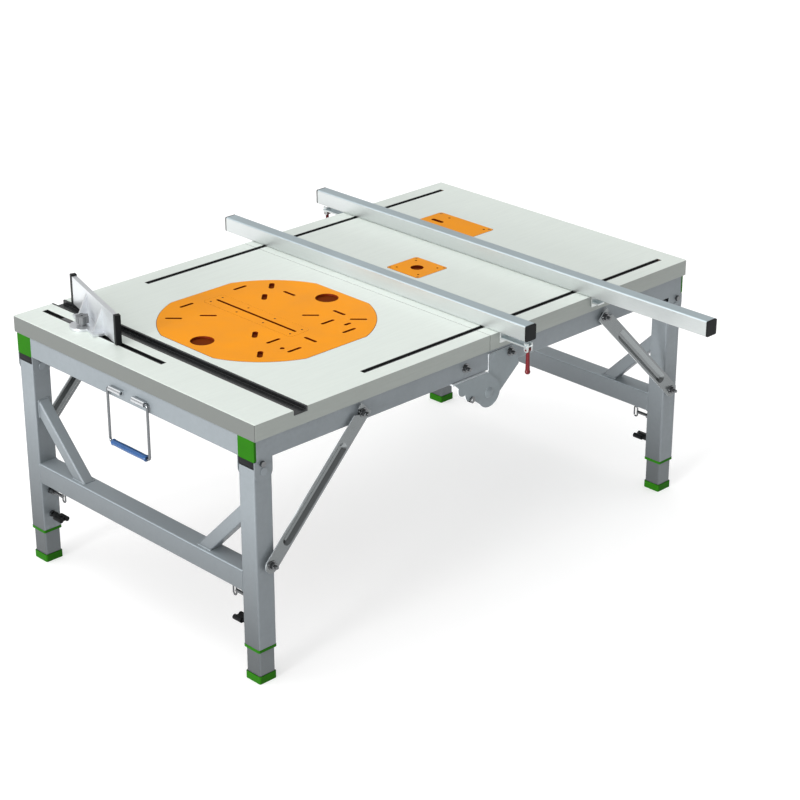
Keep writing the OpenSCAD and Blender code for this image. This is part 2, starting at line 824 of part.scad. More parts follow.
module lock_seats()
    translate([-leg_x, 0, 0]) {
        translate([0, 0, pin_z]) difference() {
            union() {
                hex_y(-leg_in_y, -leg_in_y + 5, barrel_r);
                rod_y(-leg_in_y + 5, -leg_in_y + barrel_len, barrel_r - 2);
            }
            rod_y(-leg_in_y - cut, -leg_in_y + barrel_len + cut, lock_r + run_fit);
        }
        translate([0, 0, knob_z]) difference() {
            hex_y(-leg_in_y, -leg_in_y + lock_nut_h, barrel_r);
            rod_y(-leg_in_y - cut, -leg_in_y + lock_nut_h + cut, lock_r + run_fit);
        }
    }

module leg_bolts(sx)
    color("dimgray") place() both_rows(sx) {
        pivot_rivet();
        brace_stud();
        lock_seats();
    }

module left_leg_bolts() leg_bolts(-1);
module right_leg_bolts() leg_bolts(1);

// Brace, drawn along +X from its leg stud: a flat strip with a pressed trough, round at the
// stud, square past the rail bolt, with a hook notch that drops over that bolt
notch_w = 2 * bolt_r + 0.8;

module brace_plate()
    difference() {
        union() {
            translate([0, -brace_w / 2]) square([brace_len + brace_tail, brace_w]);
            circle(brace_w / 2);
        }
        circle(bolt_r + run_fit);
        translate([brace_len, 0]) circle(notch_w / 2);
        translate([brace_len, 0]) rotate(26) polygon([
            [-notch_w / 2, 0], [notch_w / 2, 0], [notch_w / 2 + 5, brace_w], [-notch_w / 2 - 5, brace_w]]);
    }

// Trough with sloping sides and round ends, sunk below z = 0
module trough(top, low, deep) {
    x0 = tongue_low + trough_w / 2;
    x1 = brace_len - tongue_up - trough_w / 2;
    translate([x0, 0, 0]) rotate([90, 0, 90]) linear_extrude(x1 - x0)
        polygon([[-top, 0], [top, 0], [low, -deep], [-low, -deep]]);
    for (x = [x0, x1]) translate([x, 0, -deep]) cylinder(h = deep, r1 = low, r2 = top);
}

// Sheet left under the trough's floor
press_t = 2;

module brace()
    translate([-brace_x0, -brace_in, brace_z0]) rotate([90, 0, 0]) rotate(brace_turn)
        difference() {
            union() {
                linear_extrude(brace_t) brace_plate();
                trough(trough_w / 2, trough_floor / 2 + 1.5, trough_d);
            }
            translate([0, 0, brace_t])
                trough(trough_w / 2, trough_floor / 2, trough_d + brace_t - press_t);
        }

module brace_at(sx, sy) color("gainsboro") place() corner(sx, sy) brace();
module brace_left_near() brace_at(-1, -1);
module brace_left_far() brace_at(-1, 1);
module brace_right_near() brace_at(1, -1);
module brace_right_far() brace_at(1, 1);

// Sliding inner legs with their foot caps
module inner_leg(sx, sy)
    color("silver") place() corner(sx, sy) difference() {
        translate([-leg_x, -leg_y, inner_low_z]) tube_z(inner_len, inner_w, inner_w, tube_wall);
        for (i = [0:hole_count - 1])
            translate([-leg_x, 0, pin_z + i * hole_pitch])
                rod_y(-leg_y, -inner_face_y + cut, hole_r);
    }

module foot(sx, sy)
    color("forestgreen") place() corner(sx, sy) translate([-leg_x, -leg_y, 0]) difference() {
        linear_extrude(foot_h) rounded(foot_w, foot_w, tube_r);
        translate([0, 0, foot_floor]) linear_extrude(foot_h) rounded(inner_w, inner_w, tube_r);
    }

module inner_leg_left_near() inner_leg(-1, -1);
module inner_leg_left_far() inner_leg(-1, 1);
module inner_leg_right_near() inner_leg(1, -1);
module inner_leg_right_far() inner_leg(1, 1);
module foot_left_near() foot(-1, -1);
module foot_left_far() foot(-1, 1);
module foot_right_near() foot(1, -1);
module foot_right_far() foot(1, 1);

// Spring pins with pull rings, and clamp knobs, on the inner faces of the legs
pin_tip_y = inner_face_y - slide_gap;
pin_out = 50;
ring_r = 5;
ring_half = 8;
ring_wire = 2;
knob_out = 30;
wing_len = 17;

// Long wire ring in the Y-Z plane
module pull_ring() {
    for (s = [-1, 1]) {
        translate([0, s * ring_r, -ring_half]) cylinder(h = 2 * ring_half, r = ring_wire);
        translate([0, 0, s * ring_half]) rotate([0, 90, 0]) rotate(s > 0 ? 90 : -90)
            rotate_extrude(angle = 180) translate([ring_r, 0]) circle(ring_wire);
    }
}

module lock_pin(sx, sy)
    color("silver") place() corner(sx, sy) translate([-leg_x, 0, pin_z]) {
        rod_y(-pin_tip_y, -leg_in_y + pin_out, lock_r);
        rod_y(-leg_in_y + barrel_len + slide_gap, -leg_in_y + barrel_len + 5, lock_r + 3);
        translate([0, -leg_in_y + pin_out + ring_r, 0]) pull_ring();
    }

module lock_pin_left_near() lock_pin(-1, -1);
module lock_pin_left_far() lock_pin(-1, 1);
module lock_pin_right_near() lock_pin(1, -1);
module lock_pin_right_far() lock_pin(1, 1);

module lock_knob(sx, sy)
    color("black") place() corner(sx, sy) translate([-leg_x, 0, knob_z]) {
        rod_y(-pin_tip_y, -leg_in_y + knob_out, lock_r);
        rod_y(-leg_in_y + lock_nut_h + 5, -leg_in_y + knob_out + 8, 8);
        for (s = [-1, 1])
            translate([s * wing_len / 2, 0, 0])
                rod_y(-leg_in_y + knob_out - 6, -leg_in_y + knob_out + 20, 6);
        translate([-wing_len / 2, -leg_in_y + knob_out - 6, -5]) cube([wing_len, 22, 10]);
    }

module lock_knob_left_near() lock_knob(-1, -1);
module lock_knob_left_far() lock_knob(-1, 1);
module lock_knob_right_near() lock_knob(1, -1);
module lock_knob_right_far() lock_knob(1, 1);

// Fences: a tube with the jaws that grip the board's edges, end caps and a clamp lever
cap_t = 4;
cap_spigot = 14;
jaw_back = 84;
hook_back = 24;
jaw_clear = 0.6;
jaw_deep = 26;
lever_in = 5;
link_up = 10;
link_drop = 13;
link_gap = 5;
link_t = 3;
link_r = 6;
lever_pin_r = 2;
lever_len = 54;

// Jaw on the near side: its pad faces the board's edge, its strap runs out under the tube
module jaw(reach)
    translate([-jaw_w / 2, 0, 0]) {
        translate([0, -top_w / 2 - jaw_clear - jaw_t, fence_z - jaw_deep])
            cube([jaw_w, jaw_t, jaw_deep - seat_gap]);
        translate([0, -top_w / 2 - reach, jaw_z - jaw_t]) cube([jaw_w, reach - jaw_clear, jaw_t]);
    }

// Two link plates at the strap's end that carry the lever's pin
module links(y)
    for (s = [-1, 1])
        translate([s * (link_gap + link_t / 2) - link_t / 2, y, jaw_z - jaw_t])
            rotate([90, 0, 90]) linear_extrude(link_t) difference() {
                union() {
                    translate([-link_r, link_r - link_drop])
                        square([2 * link_r, link_drop - link_r + link_up]);
                    translate([0, link_r - link_drop]) circle(link_r);
                }
                translate([0, link_r - link_drop]) circle(lever_pin_r + run_fit);
            }

// Fence with its clamp on the near side (sy = -1) or the far side
module fence_rail(x, near, sy)
    color("lightgray") place() translate([x + fence_w / 2, 0, 0]) {
        translate([0, -near + cap_t, fence_z + fence_h / 2])
            tube_y(near + fence_far - 2 * cap_t, fence_w, fence_h, tube_wall);
        mirror([0, sy > 0 ? 1 : 0, 0]) {
            jaw(jaw_back);
            links(-top_w / 2 - jaw_back + lever_in);
        }
        mirror([0, sy > 0 ? 0 : 1, 0]) jaw(hook_back);
    }

module fence_cap(face_y)
    translate([0, face_y, fence_z + fence_h / 2]) rotate([-90, 0, 0]) {
        linear_extrude(cap_t) rounded(fence_w, fence_h, tube_r);
        linear_extrude(cap_t + cap_spigot)
            rounded(fence_w - 2 * tube_wall, fence_h - 2 * tube_wall, tube_r - tube_wall);
    }

module fence_caps(x, near)
    color("black") place() translate([x + fence_w / 2, 0, 0]) {
        fence_cap(-near);
        mirror([0, 1, 0]) fence_cap(-fence_far);
    }

module fence_lever(x, sy)
    color("firebrick") place() translate([x + fence_w / 2, 0, 0])
        mirror([0, sy > 0 ? 1 : 0, 0])
            translate([0, -top_w / 2 - jaw_back + lever_in, jaw_z - jaw_t - link_drop + link_r]) {
                rotate([0, 90, 0])
                    cylinder(h = 2 * (link_gap + link_t) + 1, r = lever_pin_r, center = true);
                rotate([0, 90, 0])
                    cylinder(h = 2 * (link_gap - slide_gap), r = lever_pin_r + 3, center = true);
                translate([0, 0, -lever_len]) cylinder(h = lever_len - 2, r1 = 5.5, r2 = 4);
                translate([0, 0, -lever_len]) sphere(6.5);
            }

module fence_1_rail() fence_rail(fence1_x, fence1_near, -1);
module fence_1_caps() fence_caps(fence1_x, fence1_near);
module fence_1_lever() fence_lever(fence1_x, -1);
module fence_2_rail() fence_rail(fence2_x, fence2_near, 1);
module fence_2_caps() fence_caps(fence2_x, fence2_near);
module fence_2_lever() fence_lever(fence2_x, 1);

// Angle gauge: a guide in the slot, a turning head, a fence on the head and a clamp knob
guide_len = 150;
guide_back = 30;
head_t = 6;
head_r = 30;
head_z = top_h + slide_gap;
fence_back = 30;
fence_fore = 140;
gauge_pin_r = 4;
rib_t = 6;
cap_len = 12;
seat_half = gauge_len / 4 - 5;
rib_at = gauge_len / 6;

module gauge_place() place() translate([-gauge_x, gauge_y, 0]) children();
module head_place() gauge_place() rotate(-gauge_turn) children();

module gauge_guide()
    color("gray") gauge_place() {
        translate([-liner_w / 2 + liner_wall + slide_gap, -guide_len / 2, top_h - liner_d + liner_wall + slide_gap])
            cube([liner_w - 2 * liner_wall - 2 * slide_gap, guide_len, liner_d - liner_wall - slide_gap]);
        translate([0, 0, top_h - 2]) cylinder(h = head_t + 2 + 20, r = gauge_pin_r / 2 + 1);
    }

module gauge_head()
    color("silver") head_place() difference() {
        union() {
            translate([0, 0, head_z]) linear_extrude(head_t) {
                circle(head_r);
                translate([0, -head_r]) square([fence_back, 2 * head_r]);
                translate([0, -seat_half]) square([fence_back, 2 * seat_half]);
            }
            for (s = [-1, 1])
                translate([fence_back, s * rib_at - rib_t / 2, head_z + head_t]) rotate([-90, 180, 0])
                    rotate([0, 0, 0]) linear_extrude(rib_t)
                        polygon([[0, 0], [0, gauge_h - 14], [fence_back - 6, 0]]);
        }
        translate([0, 0, head_z - cut])
            cylinder(h = head_t + 2 * cut, r = gauge_pin_r / 2 + 1 + run_fit);
    }

module gauge_fence()
    color("lightgray") head_place()
        translate([fence_back, -fence_fore + cap_len, head_z]) difference() {
            cube([gauge_t, gauge_len - 2 * cap_len, gauge_h]);
            translate([3, -cut, 8]) cube([gauge_t - 6, gauge_len, gauge_h - 16]);
        }

module gauge_caps()
    color("black") head_place() for (y = [-fence_fore, gauge_len - fence_fore - cap_len])
        translate([fence_back - 1, y, head_z]) cube([gauge_t + 2, cap_len, gauge_h + 3]);

module gauge_knob()
    color("dimgray") gauge_place() translate([0, 0, head_z + head_t + slide_gap]) difference() {
        union() {
            cylinder(h = 6, r = 9);
            translate([0, 0, 6]) linear_extrude(16) {
                circle(13);
                for (a = [0:60:300]) rotate(a) translate([12, 0]) circle(4);
            }
        }
        translate([0, 0, -cut]) cylinder(h = 22 + 2 * cut, r = gauge_pin_r / 2 + 1 + run_fit);
    }

// Carry handle on the left end
module sleeve_at(y0)
    translate([-sleeve_x, 0, sleeve_z]) difference() {
        union() {
            rod_y(y0, y0 + sleeve_len, sleeve_r);
            translate([0, y0, -4]) cube([sleeve_r, sleeve_len, 8]);
        }
        rod_y(y0 - cut, y0 + sleeve_len + cut, wire_r + run_fit);
    }

sleeve_side = 1.5;

module handle_sleeves()
    translate([0, bail_mid_y, 0])
        for (y0 = [-bail_w / 2 + bend_r + sleeve_side, bail_w / 2 - bend_r - sleeve_side - sleeve_len])
            sleeve_at(y0);

module elbow(a) rotate_extrude(angle = 90, start = a) translate([bend_r, 0]) circle(wire_r);

// Half of the bail, on the near side of its middle, in the plane of the end rail
module half_bail() {
    rod_y(-bail_w / 2 + bend_r, -bail_w / 2 + sleeve_len, wire_r);
    translate([0, -bail_w / 2 + bend_r, -bend_r]) rotate([90, 0, 90]) elbow(90);
    translate([0, -bail_w / 2, -bail_drop + bend_r])
        cylinder(h = bail_drop - 2 * bend_r, r = wire_r);
    translate([0, -bail_w / 2 + bend_r, -bail_drop + bend_r]) rotate([90, 0, 90]) elbow(180);
    translate([0, 0, -bail_drop]) rod_y(-bail_w / 2 + bend_r, 0, wire_r);
}

module bail_place() place() translate([-sleeve_x, bail_mid_y, sleeve_z]) children();

module handle_bail()
    color("silver") bail_place() {
        half_bail();
        mirror([0, 1, 0]) half_bail();
    }

module handle_grip()
    color("steelblue") bail_place() translate([0, 0, -bail_drop]) difference() {
        rod_y(-grip_len / 2, grip_len / 2, grip_r);
        rod_y(-grip_len / 2 - cut, grip_len / 2 + cut, wire_r);
    }

left_board();
left_side_rails();
left_cross_rails();
left_rail_plugs();
left_hinge_leaves();
saw_plate();
saw_insert();
left_tracks();
left_frame_bolts();
hinge_pins();
right_board();
right_side_rails();
right_cross_rails();
right_rail_plugs();
right_hinge_leaves();
router_plate();
jigsaw_plate();
right_tracks();
right_frame_bolts();
left_leg_tubes();
left_leg_crossbar();
left_leg_collars();
left_leg_bolts();
right_leg_tubes();
right_leg_crossbar();
right_leg_collars();
right_leg_bolts();
brace_left_near();
brace_left_far();
brace_right_near();
brace_right_far();
inner_leg_left_near();
inner_leg_left_far();
inner_leg_right_near();
inner_leg_right_far();
foot_left_near();
foot_left_far();
foot_right_near();
foot_right_far();
lock_pin_left_near();
lock_pin_left_far();
lock_pin_right_near();
lock_pin_right_far();
lock_knob_left_near();
lock_knob_left_far();
lock_knob_right_near();
lock_knob_right_far();
fence_1_rail();
fence_1_caps();
fence_1_lever();
fence_2_rail();
fence_2_caps();
fence_2_lever();
gauge_guide();
gauge_head();
gauge_fence();
gauge_caps();
gauge_knob();
handle_bail();
handle_grip();
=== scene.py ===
"""Looks of the folding workbench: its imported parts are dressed, given small details and lit."""

import json
import math

import bmesh
import bpy
from bpy.props import FloatProperty, FloatVectorProperty, IntProperty, PointerProperty
from mathutils import Matrix, Vector


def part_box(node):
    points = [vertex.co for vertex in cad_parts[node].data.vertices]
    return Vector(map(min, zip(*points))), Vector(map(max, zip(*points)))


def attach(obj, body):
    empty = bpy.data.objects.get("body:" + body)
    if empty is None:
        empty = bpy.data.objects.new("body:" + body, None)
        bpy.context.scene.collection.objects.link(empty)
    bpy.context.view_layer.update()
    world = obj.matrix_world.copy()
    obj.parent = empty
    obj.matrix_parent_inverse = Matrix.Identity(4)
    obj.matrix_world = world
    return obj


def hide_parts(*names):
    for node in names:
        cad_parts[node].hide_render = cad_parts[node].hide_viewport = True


bl_info = {
    "name": "Folding workbench",
    "version": (1, 0, 0),
    "blender": (4, 5, 0),
    "location": "View3D > Sidebar > Bench",
    "description": "Dresses the packed parts of a folding workbench and lights them",
    "category": "Object",
}

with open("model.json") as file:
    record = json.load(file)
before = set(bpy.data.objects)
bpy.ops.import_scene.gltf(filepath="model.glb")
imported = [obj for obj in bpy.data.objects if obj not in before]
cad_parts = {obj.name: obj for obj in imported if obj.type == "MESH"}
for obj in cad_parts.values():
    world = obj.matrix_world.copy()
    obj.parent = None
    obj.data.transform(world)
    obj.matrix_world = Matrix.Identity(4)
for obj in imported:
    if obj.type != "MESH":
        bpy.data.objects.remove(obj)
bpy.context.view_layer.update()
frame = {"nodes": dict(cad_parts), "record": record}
NODES = frame["nodes"]
SLOT_OF = {part["node"]: part["material_slot"] for part in frame["record"]["subparts"]}
BODY_OF = {
    node: body
    for body, members in frame["record"]["behaviour"]["bodies"].items()
    for node in members
}
SIDES = ("left", "right")
LEGS = [f"{side}_{row}" for side in SIDES for row in ("near", "far")]
MM = 0.001


def table_middle():
    """Middle of the tabletop on the floor, in the row frame."""
    low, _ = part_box("left_board")
    _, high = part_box("right_board")
    return Vector(((low.x + high.x) / 2, (low.y + high.y) / 2, 0.0))


MIDDLE = table_middle()


def at(x, y, z):
    """A place given in millimetres from the middle of the table, in the row frame."""
    return MIDDLE + Vector((x, y, z)) * MM


# Sizes and colours a user would change


class BenchDetail(bpy.types.PropertyGroup):
    """Sizes of the small details."""

    edge_round: FloatProperty(
        name="Edge rounding", description="Rounding of sheared and moulded edges",
        default=0.0007, min=0.0001, max=0.002, unit="LENGTH")
    board_round: FloatProperty(
        name="Board edge rounding", description="Rounding of the boards' laminated edges",
        default=0.0014, min=0.0002, max=0.004, unit="LENGTH")
    smooth_angle: FloatProperty(
        name="Smooth below", description="Faces that meet at less than this are shaded smooth",
        default=math.radians(32), min=0.1, max=1.5, subtype="ANGLE")
    weld_radius: FloatProperty(
        name="Weld radius", description="Radius of a weld bead",
        default=0.0022, min=0.0005, max=0.005, unit="LENGTH")
    weld_pitch: FloatProperty(
        name="Weld ripple pitch", description="Distance between the ripples of a weld bead",
        default=0.0021, min=0.0008, max=0.01, unit="LENGTH")
    screw_radius: FloatProperty(
        name="Plate screw radius", description="Radius of the countersunk screw heads",
        default=0.0042, min=0.002, max=0.006, unit="LENGTH")
    grip_ribs: IntProperty(
        name="Grip ribs", description="Number of raised ribs round the carry handle's grip",
        default=17, min=4, max=40)
    seed: IntProperty(
        name="Seed", description="Seed of every random turn", default=7, min=0, max=9999)


def colour(name, text, rgb):
    """One colour property."""
    return FloatVectorProperty(
        name=name, description=text, subtype="COLOR", size=3, min=0, max=1, default=rgb)


class BenchColours(bpy.types.PropertyGroup):
    """Colours of the finishes."""

    laminate: colour("Laminate", "Face of the boards", (0.612, 0.662, 0.622))
    board_edge: colour("Board edge", "Edge band of the boards", (0.235, 0.255, 0.238))
    core: colour("Board core", "Bare fibreboard where the boards are cut", (0.13, 0.075, 0.038))
    silver: colour("Silver paint", "Painted tubes of the frame", (0.175, 0.198, 0.213))
    zinc: colour("Zinc", "Plated strip of the braces", (0.200, 0.214, 0.218))
    dull: colour("Dull tube", "Bare tube of the sliding legs", (0.124, 0.139, 0.147))
    pressed: colour("Pressed plate", "Leaves of the centre hinge", (0.172, 0.200, 0.213))
    aluminium: colour("Aluminium", "Drawn tube of the fences", (0.60, 0.63, 0.625))
    orange: colour("Plate enamel", "Tool plates", (0.75, 0.268, 0.004))
    # Colour of the painted shade on the walls of the slots and holes
    slot_wall: colour("Painted slot shade", "Cut walls of the plates' slots", (0.16, 0.016, 0.002))
    green: colour("Green plastic", "Plugs, collars and foot caps", (0.013, 0.100, 0.002))
    black: colour("Black plastic", "Tracks, caps and knobs", (0.009, 0.010, 0.011))
    red: colour("Red plastic", "Clamp levers", (0.105, 0.002, 0.005))
    blue: colour("Blue grip", "Grip of the carry handle", (0.003, 0.050, 0.165))
    floor: colour("Floor", "Plain studio floor", (0.56, 0.56, 0.56))


# Shader groups that several finishes share


def group_tree(name, inputs, outputs):
    """An empty shader group with named sockets."""
    tree = bpy.data.node_groups.new(name, "ShaderNodeTree")
    for label, kind, default in inputs:
        socket = tree.interface.new_socket(name=label, in_out="INPUT", socket_type=kind)
        if default is not None:
            socket.default_value = default
    for label, kind in outputs:
        tree.interface.new_socket(name=label, in_out="OUTPUT", socket_type=kind)
    into = tree.nodes.new("NodeGroupInput")
    out = tree.nodes.new("NodeGroupOutput")
    return tree, into, out


def feed(tree, value, socket):
    """Links a socket, or writes a number or a colour."""
    if isinstance(value, bpy.types.NodeSocket):
        tree.links.new(value, socket)
    elif hasattr(value, "__len__") and socket.type == "RGBA" and len(value) == 3:
        socket.default_value = (*value, 1.0)
    else:
        socket.default_value = value


def node(tree, kind, **values):
    """A node with its settings made and its inputs fed: in_1 by number, From_Min by name."""
    made = tree.nodes.new(kind)
    for key, value in values.items():
        if key.startswith("in_"):
            feed(tree, value, made.inputs[int(key[3:])])
        elif key[0].isupper():
            feed(tree, value, made.inputs[key.replace("_", " ")])
        else:
            setattr(made, key, value)
    return made


def sums(tree, operation, *values, clamp=False):
    """The output of a math node; values are numbers or sockets."""
    made = node(tree, "ShaderNodeMath", operation=operation, use_clamp=clamp)
    for value, socket in zip(values, made.inputs):
        feed(tree, value, socket)
    return made.outputs[0]


def grain_group():
    """Fine streaks along one axis, for drawn tube, brushed plate and laminate."""
    tree, into, out = group_tree(
        "Drawn grain",
        [("Vector", "NodeSocketVector", None), ("Scale", "NodeSocketFloat", 60.0),
         ("Stretch", "NodeSocketVector", (1.0, 12.0, 12.0)), ("Contrast", "NodeSocketFloat", 0.5)],
        [("Streak", "NodeSocketFloat")])
    stretched = node(tree, "ShaderNodeVectorMath", operation="MULTIPLY",
                     in_0=into.outputs["Vector"], in_1=into.outputs["Stretch"])
    noise = node(tree, "ShaderNodeTexNoise", Detail=5.0, Roughness=0.62,
                 Vector=stretched.outputs[0], Scale=into.outputs["Scale"])
    off_centre = sums(tree, "SUBTRACT", noise.outputs["Fac"], 0.5)
    gained = sums(tree, "MULTIPLY", off_centre, into.outputs["Contrast"])
    tree.links.new(sums(tree, "ADD", gained, 0.5, clamp=True), out.inputs["Streak"])
    return tree


def wear_group():
    """Rubbed corners: bright where an edge sticks out, broken up by noise; on metals it also
    carries a painted highlight.
    """
    tree, into, out = group_tree(
        "Rubbed edges",
        [("Vector", "NodeSocketVector", None), ("Amount", "NodeSocketFloat", 0.5),
         ("Scale", "NodeSocketFloat", 90.0)],
        [("Mask", "NodeSocketFloat")])
    shape = node(tree, "ShaderNodeNewGeometry")
    edge = node(tree, "ShaderNodeMapRange", clamp=True, From_Min=0.56, From_Max=0.70,
                Value=shape.outputs["Pointiness"])
    noise = node(tree, "ShaderNodeTexNoise", Detail=4.0, Vector=into.outputs["Vector"],
                 Scale=into.outputs["Scale"])
    chip = node(tree, "ShaderNodeMapRange", clamp=True, From_Min=0.38, From_Max=0.68,
                Value=noise.outputs["Fac"])
    both = sums(tree, "MULTIPLY", edge.outputs["Result"], chip.outputs["Result"])
    tree.links.new(sums(tree, "MULTIPLY", both, into.outputs["Amount"], clamp=True),
                   out.inputs["Mask"])
    return tree


def handling_group():
    """Soft smudges and fine specks that change gloss and tone a little."""
    tree, into, out = group_tree(
        "Handling marks",
        [("Vector", "NodeSocketVector", None), ("Scale", "NodeSocketFloat", 9.0),
         ("Speck Scale", "NodeSocketFloat", 420.0)],
        [("Smudge", "NodeSocketFloat"), ("Speck", "NodeSocketFloat")])
    for scale, name, values in (("Scale", "Smudge", {"Detail": 6.0, "Roughness": 0.55}),
                                ("Speck Scale", "Speck", {"Detail": 3.0})):
        made = node(tree, "ShaderNodeTexNoise", Vector=into.outputs["Vector"],
                    Scale=into.outputs[scale], **values)
        tree.links.new(made.outputs["Fac"], out.inputs[name])
    return tree


class Finish:
    """Builds one material and keeps its tree at hand."""

    def __init__(self, name, rough, metal, coat=0.0):
        self.material = bpy.data.materials.new(name)
        self.material.use_nodes = True
        self.tree = self.material.node_tree
        self.tree.nodes.clear()
        out = self.tree.nodes.new("ShaderNodeOutputMaterial")
        self.shader = node(self.tree, "ShaderNodeBsdfPrincipled", Roughness=rough,
                           Metallic=metal, Coat_Weight=coat, Coat_Roughness=0.12)
        self.tree.links.new(self.shader.outputs[0], out.inputs[0])
        self.place = self.tree.nodes.new("ShaderNodeTexCoord").outputs["Object"]

    def group(self, tree, **values):
        """Place a shared group, fed with the piece's own coordinates."""
        return node(self.tree, "ShaderNodeGroup", node_tree=tree, Vector=self.place, **values)

    def mix(self, factor, low, high):
        """A colour mix; low and high are colours or sockets."""
        made = node(self.tree, "ShaderNodeMix", data_type="RGBA", Factor=factor)
        for value, socket in zip((low, high), [s for s in made.inputs if s.type == "RGBA"]):
            feed(self.tree, value, socket)
        return [s for s in made.outputs if s.type == "RGBA"][0]

    def span(self, value, low, high, from_low=0.3, from_high=0.7):
        """Maps a value between two numbers."""
        made = node(self.tree, "ShaderNodeMapRange", clamp=True, From_Min=from_low,
                    From_Max=from_high, To_Min=low, To_Max=high, Value=value)
        return made.outputs["Result"]

    def sums(self, operation, *values):
        """A math node's output in this material."""
        return sums(self.tree, operation, *values)

    def axes(self):
        """Distances from the table's middle along X and Y, and the height, in metres."""
        split = node(self.tree, "ShaderNodeSeparateXYZ", in_0=self.place)
        reach = [self.sums("ABSOLUTE", self.sums("SUBTRACT", split.outputs[i], MIDDLE[i]))
                 for i in range(2)]
        return (*reach, split.outputs["Z"])

    def facing(self):
        """The piece's own normal: along X and Y without its sign, and along Z."""
        own = self.tree.nodes.new("ShaderNodeTexCoord").outputs["Normal"]
        split = node(self.tree, "ShaderNodeSeparateXYZ", in_0=own)
        return (self.sums("ABSOLUTE", split.outputs["X"]),
                self.sums("ABSOLUTE", split.outputs["Y"]), split.outputs["Z"])

    def bump(self, height, strength, distance):
        """Relief of the surface."""
        made = node(self.tree, "ShaderNodeBump", Strength=strength, Distance=distance,
                    Height=height)
        self.set("Normal", made.outputs[0])

    def set(self, socket, value):
        """Feeds one of the shader's own sockets."""
        feed(self.tree, value, self.shader.inputs[socket])


# Metres: radius of the board's opening under the saw plate, outer face of the legs from the
# table's middle, place and radius of a leg's pivot head, and height that parts the rails from the
# leg frames below them
SAW_OPENING = 0.237
FRAME_END = abs(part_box("left_leg_tubes")[0].x - MIDDLE.x)
LEG_PIVOT = (FRAME_END - 0.025, 0.508)
PIVOT_RADIUS = 0.0102
RAIL_BOTTOM = 0.48
# Height over which painted shade darkens the end faces of the frame towards the floor, in metres
FLOOR_SHADE = 0.42
# Painted steel: roughness and metalness
PAINT_ROUGH, PAINT_METAL = 0.46, 0.25
CHROME, CHROME_ROUGH = (0.62, 0.64, 0.66), 0.16
# Colour of bare cut edges, light enough to be a painted highlight
BARE_LIT_EDGE = (0.70, 0.73, 0.75)
# Darker, bluer grey of the fences' top faces: painted shade
FENCE_TOP_SHADE = (0.465, 0.545, 0.575)
SCRAPED_ENAMEL = (0.95, 0.42, 0.05)
EVEN = (1.0, 1.0, 1.0)


def shade(rgb, factor):
    """A colour made lighter or darker."""
    return tuple(min(1.0, c * factor) for c in rgb)


FINISHES = {}


def metal_finish(name, rgb, rough, metal, stretch, wear, groups, scale=70.0, relief=0.25,
                 glint=1.45, low=1.0, sheared=False):
    """Drawn, brushed or painted metal with streaks along its run, rubbed edges and painted light
    and shade.

    glint is how much lighter rubbed edges are, partly wear and partly a painted highlight; low is
    how dark the painted shade makes the end faces near the floor; and sheared says that the cut
    edges of a strip are bare and painted bright as a highlight."""
    grain, rubbed, handling = groups
    finish = Finish(name, rough, metal, 0.15 if metal < 0.7 else 0.0)
    streak = finish.group(grain, Scale=scale, Stretch=stretch, Contrast=0.55)
    marks = finish.group(handling, Scale=7.0, Speck_Scale=520.0)
    edge = finish.group(rubbed, Amount=wear, Scale=120.0)
    tone = finish.mix(finish.span(streak.outputs[0], 0, 1), shade(rgb, 0.92), shade(rgb, 1.07))
    cloud = finish.mix(finish.span(marks.outputs["Smudge"], 0, 0.4), tone, shade(rgb, 0.88))
    # Painted shade: faces along X, and a tenth as much the others, darken towards the floor
    if low != 1.0:
        height = finish.span(finish.axes()[2], 1, 0, 0.0, FLOOR_SHADE)
        end = finish.span(finish.facing()[0], 0.10, 1, 0.4, 0.9)
        cloud = finish.mix(finish.sums("MULTIPLY", height, end), cloud, shade(rgb, low))
    # Cut edges: bare metal, painted bright as a highlight where the edge catches the light
    if sheared:
        cut = finish.sums("LESS_THAN", finish.facing()[1], 0.3)
        cloud = finish.mix(cut, cloud, BARE_LIT_EDGE)
    # Edges lighter by glint: wear, and with the higher glints a painted highlight
    base = finish.mix(edge.outputs[0], cloud, shade(rgb, glint))
    gloss = finish.span(marks.outputs["Smudge"], rough * 0.82, rough * 1.22)
    finish.set("Base Color", base)
    finish.set("Roughness", gloss)
    finish.bump(streak.outputs[0], relief, 0.00015)
    FINISHES[name] = finish.material
    return finish, base, gloss


def frame_finish(colours, groups):
    """Silver paint of the frame with painted shade near the floor and painted light on low upward
    faces, and bright plating on the sleeves outside the end rail.
    """
    finish, base, gloss = metal_finish(
        "frame_steel", tuple(colours.silver), PAINT_ROUGH, PAINT_METAL, (3.0, 3.0, 3.0), 0.4,
        groups, 30.0, 0.05, 1.5, 0.15)
    x, _, z = finish.axes()
    sleeve = finish.sums("MULTIPLY", finish.sums("GREATER_THAN", x, FRAME_END + 0.0004),
                         finish.sums("GREATER_THAN", z, RAIL_BOTTOM))
    # Painted light: upward faces below the rails are made lighter
    lit_tops = finish.sums("MULTIPLY", finish.sums("GREATER_THAN", finish.facing()[2], 0.6),
                        finish.sums("LESS_THAN", z, RAIL_BOTTOM))
    base = finish.mix(lit_tops, base, shade(tuple(colours.silver), 1.6))
    finish.set("Base Color", finish.mix(sleeve, base, CHROME))
    finish.set("Metallic", finish.span(sleeve, PAINT_METAL, 1.0, 0.0, 1.0))
    finish.set("Roughness", finish.mix(sleeve, gloss, (CHROME_ROUGH,) * 3))


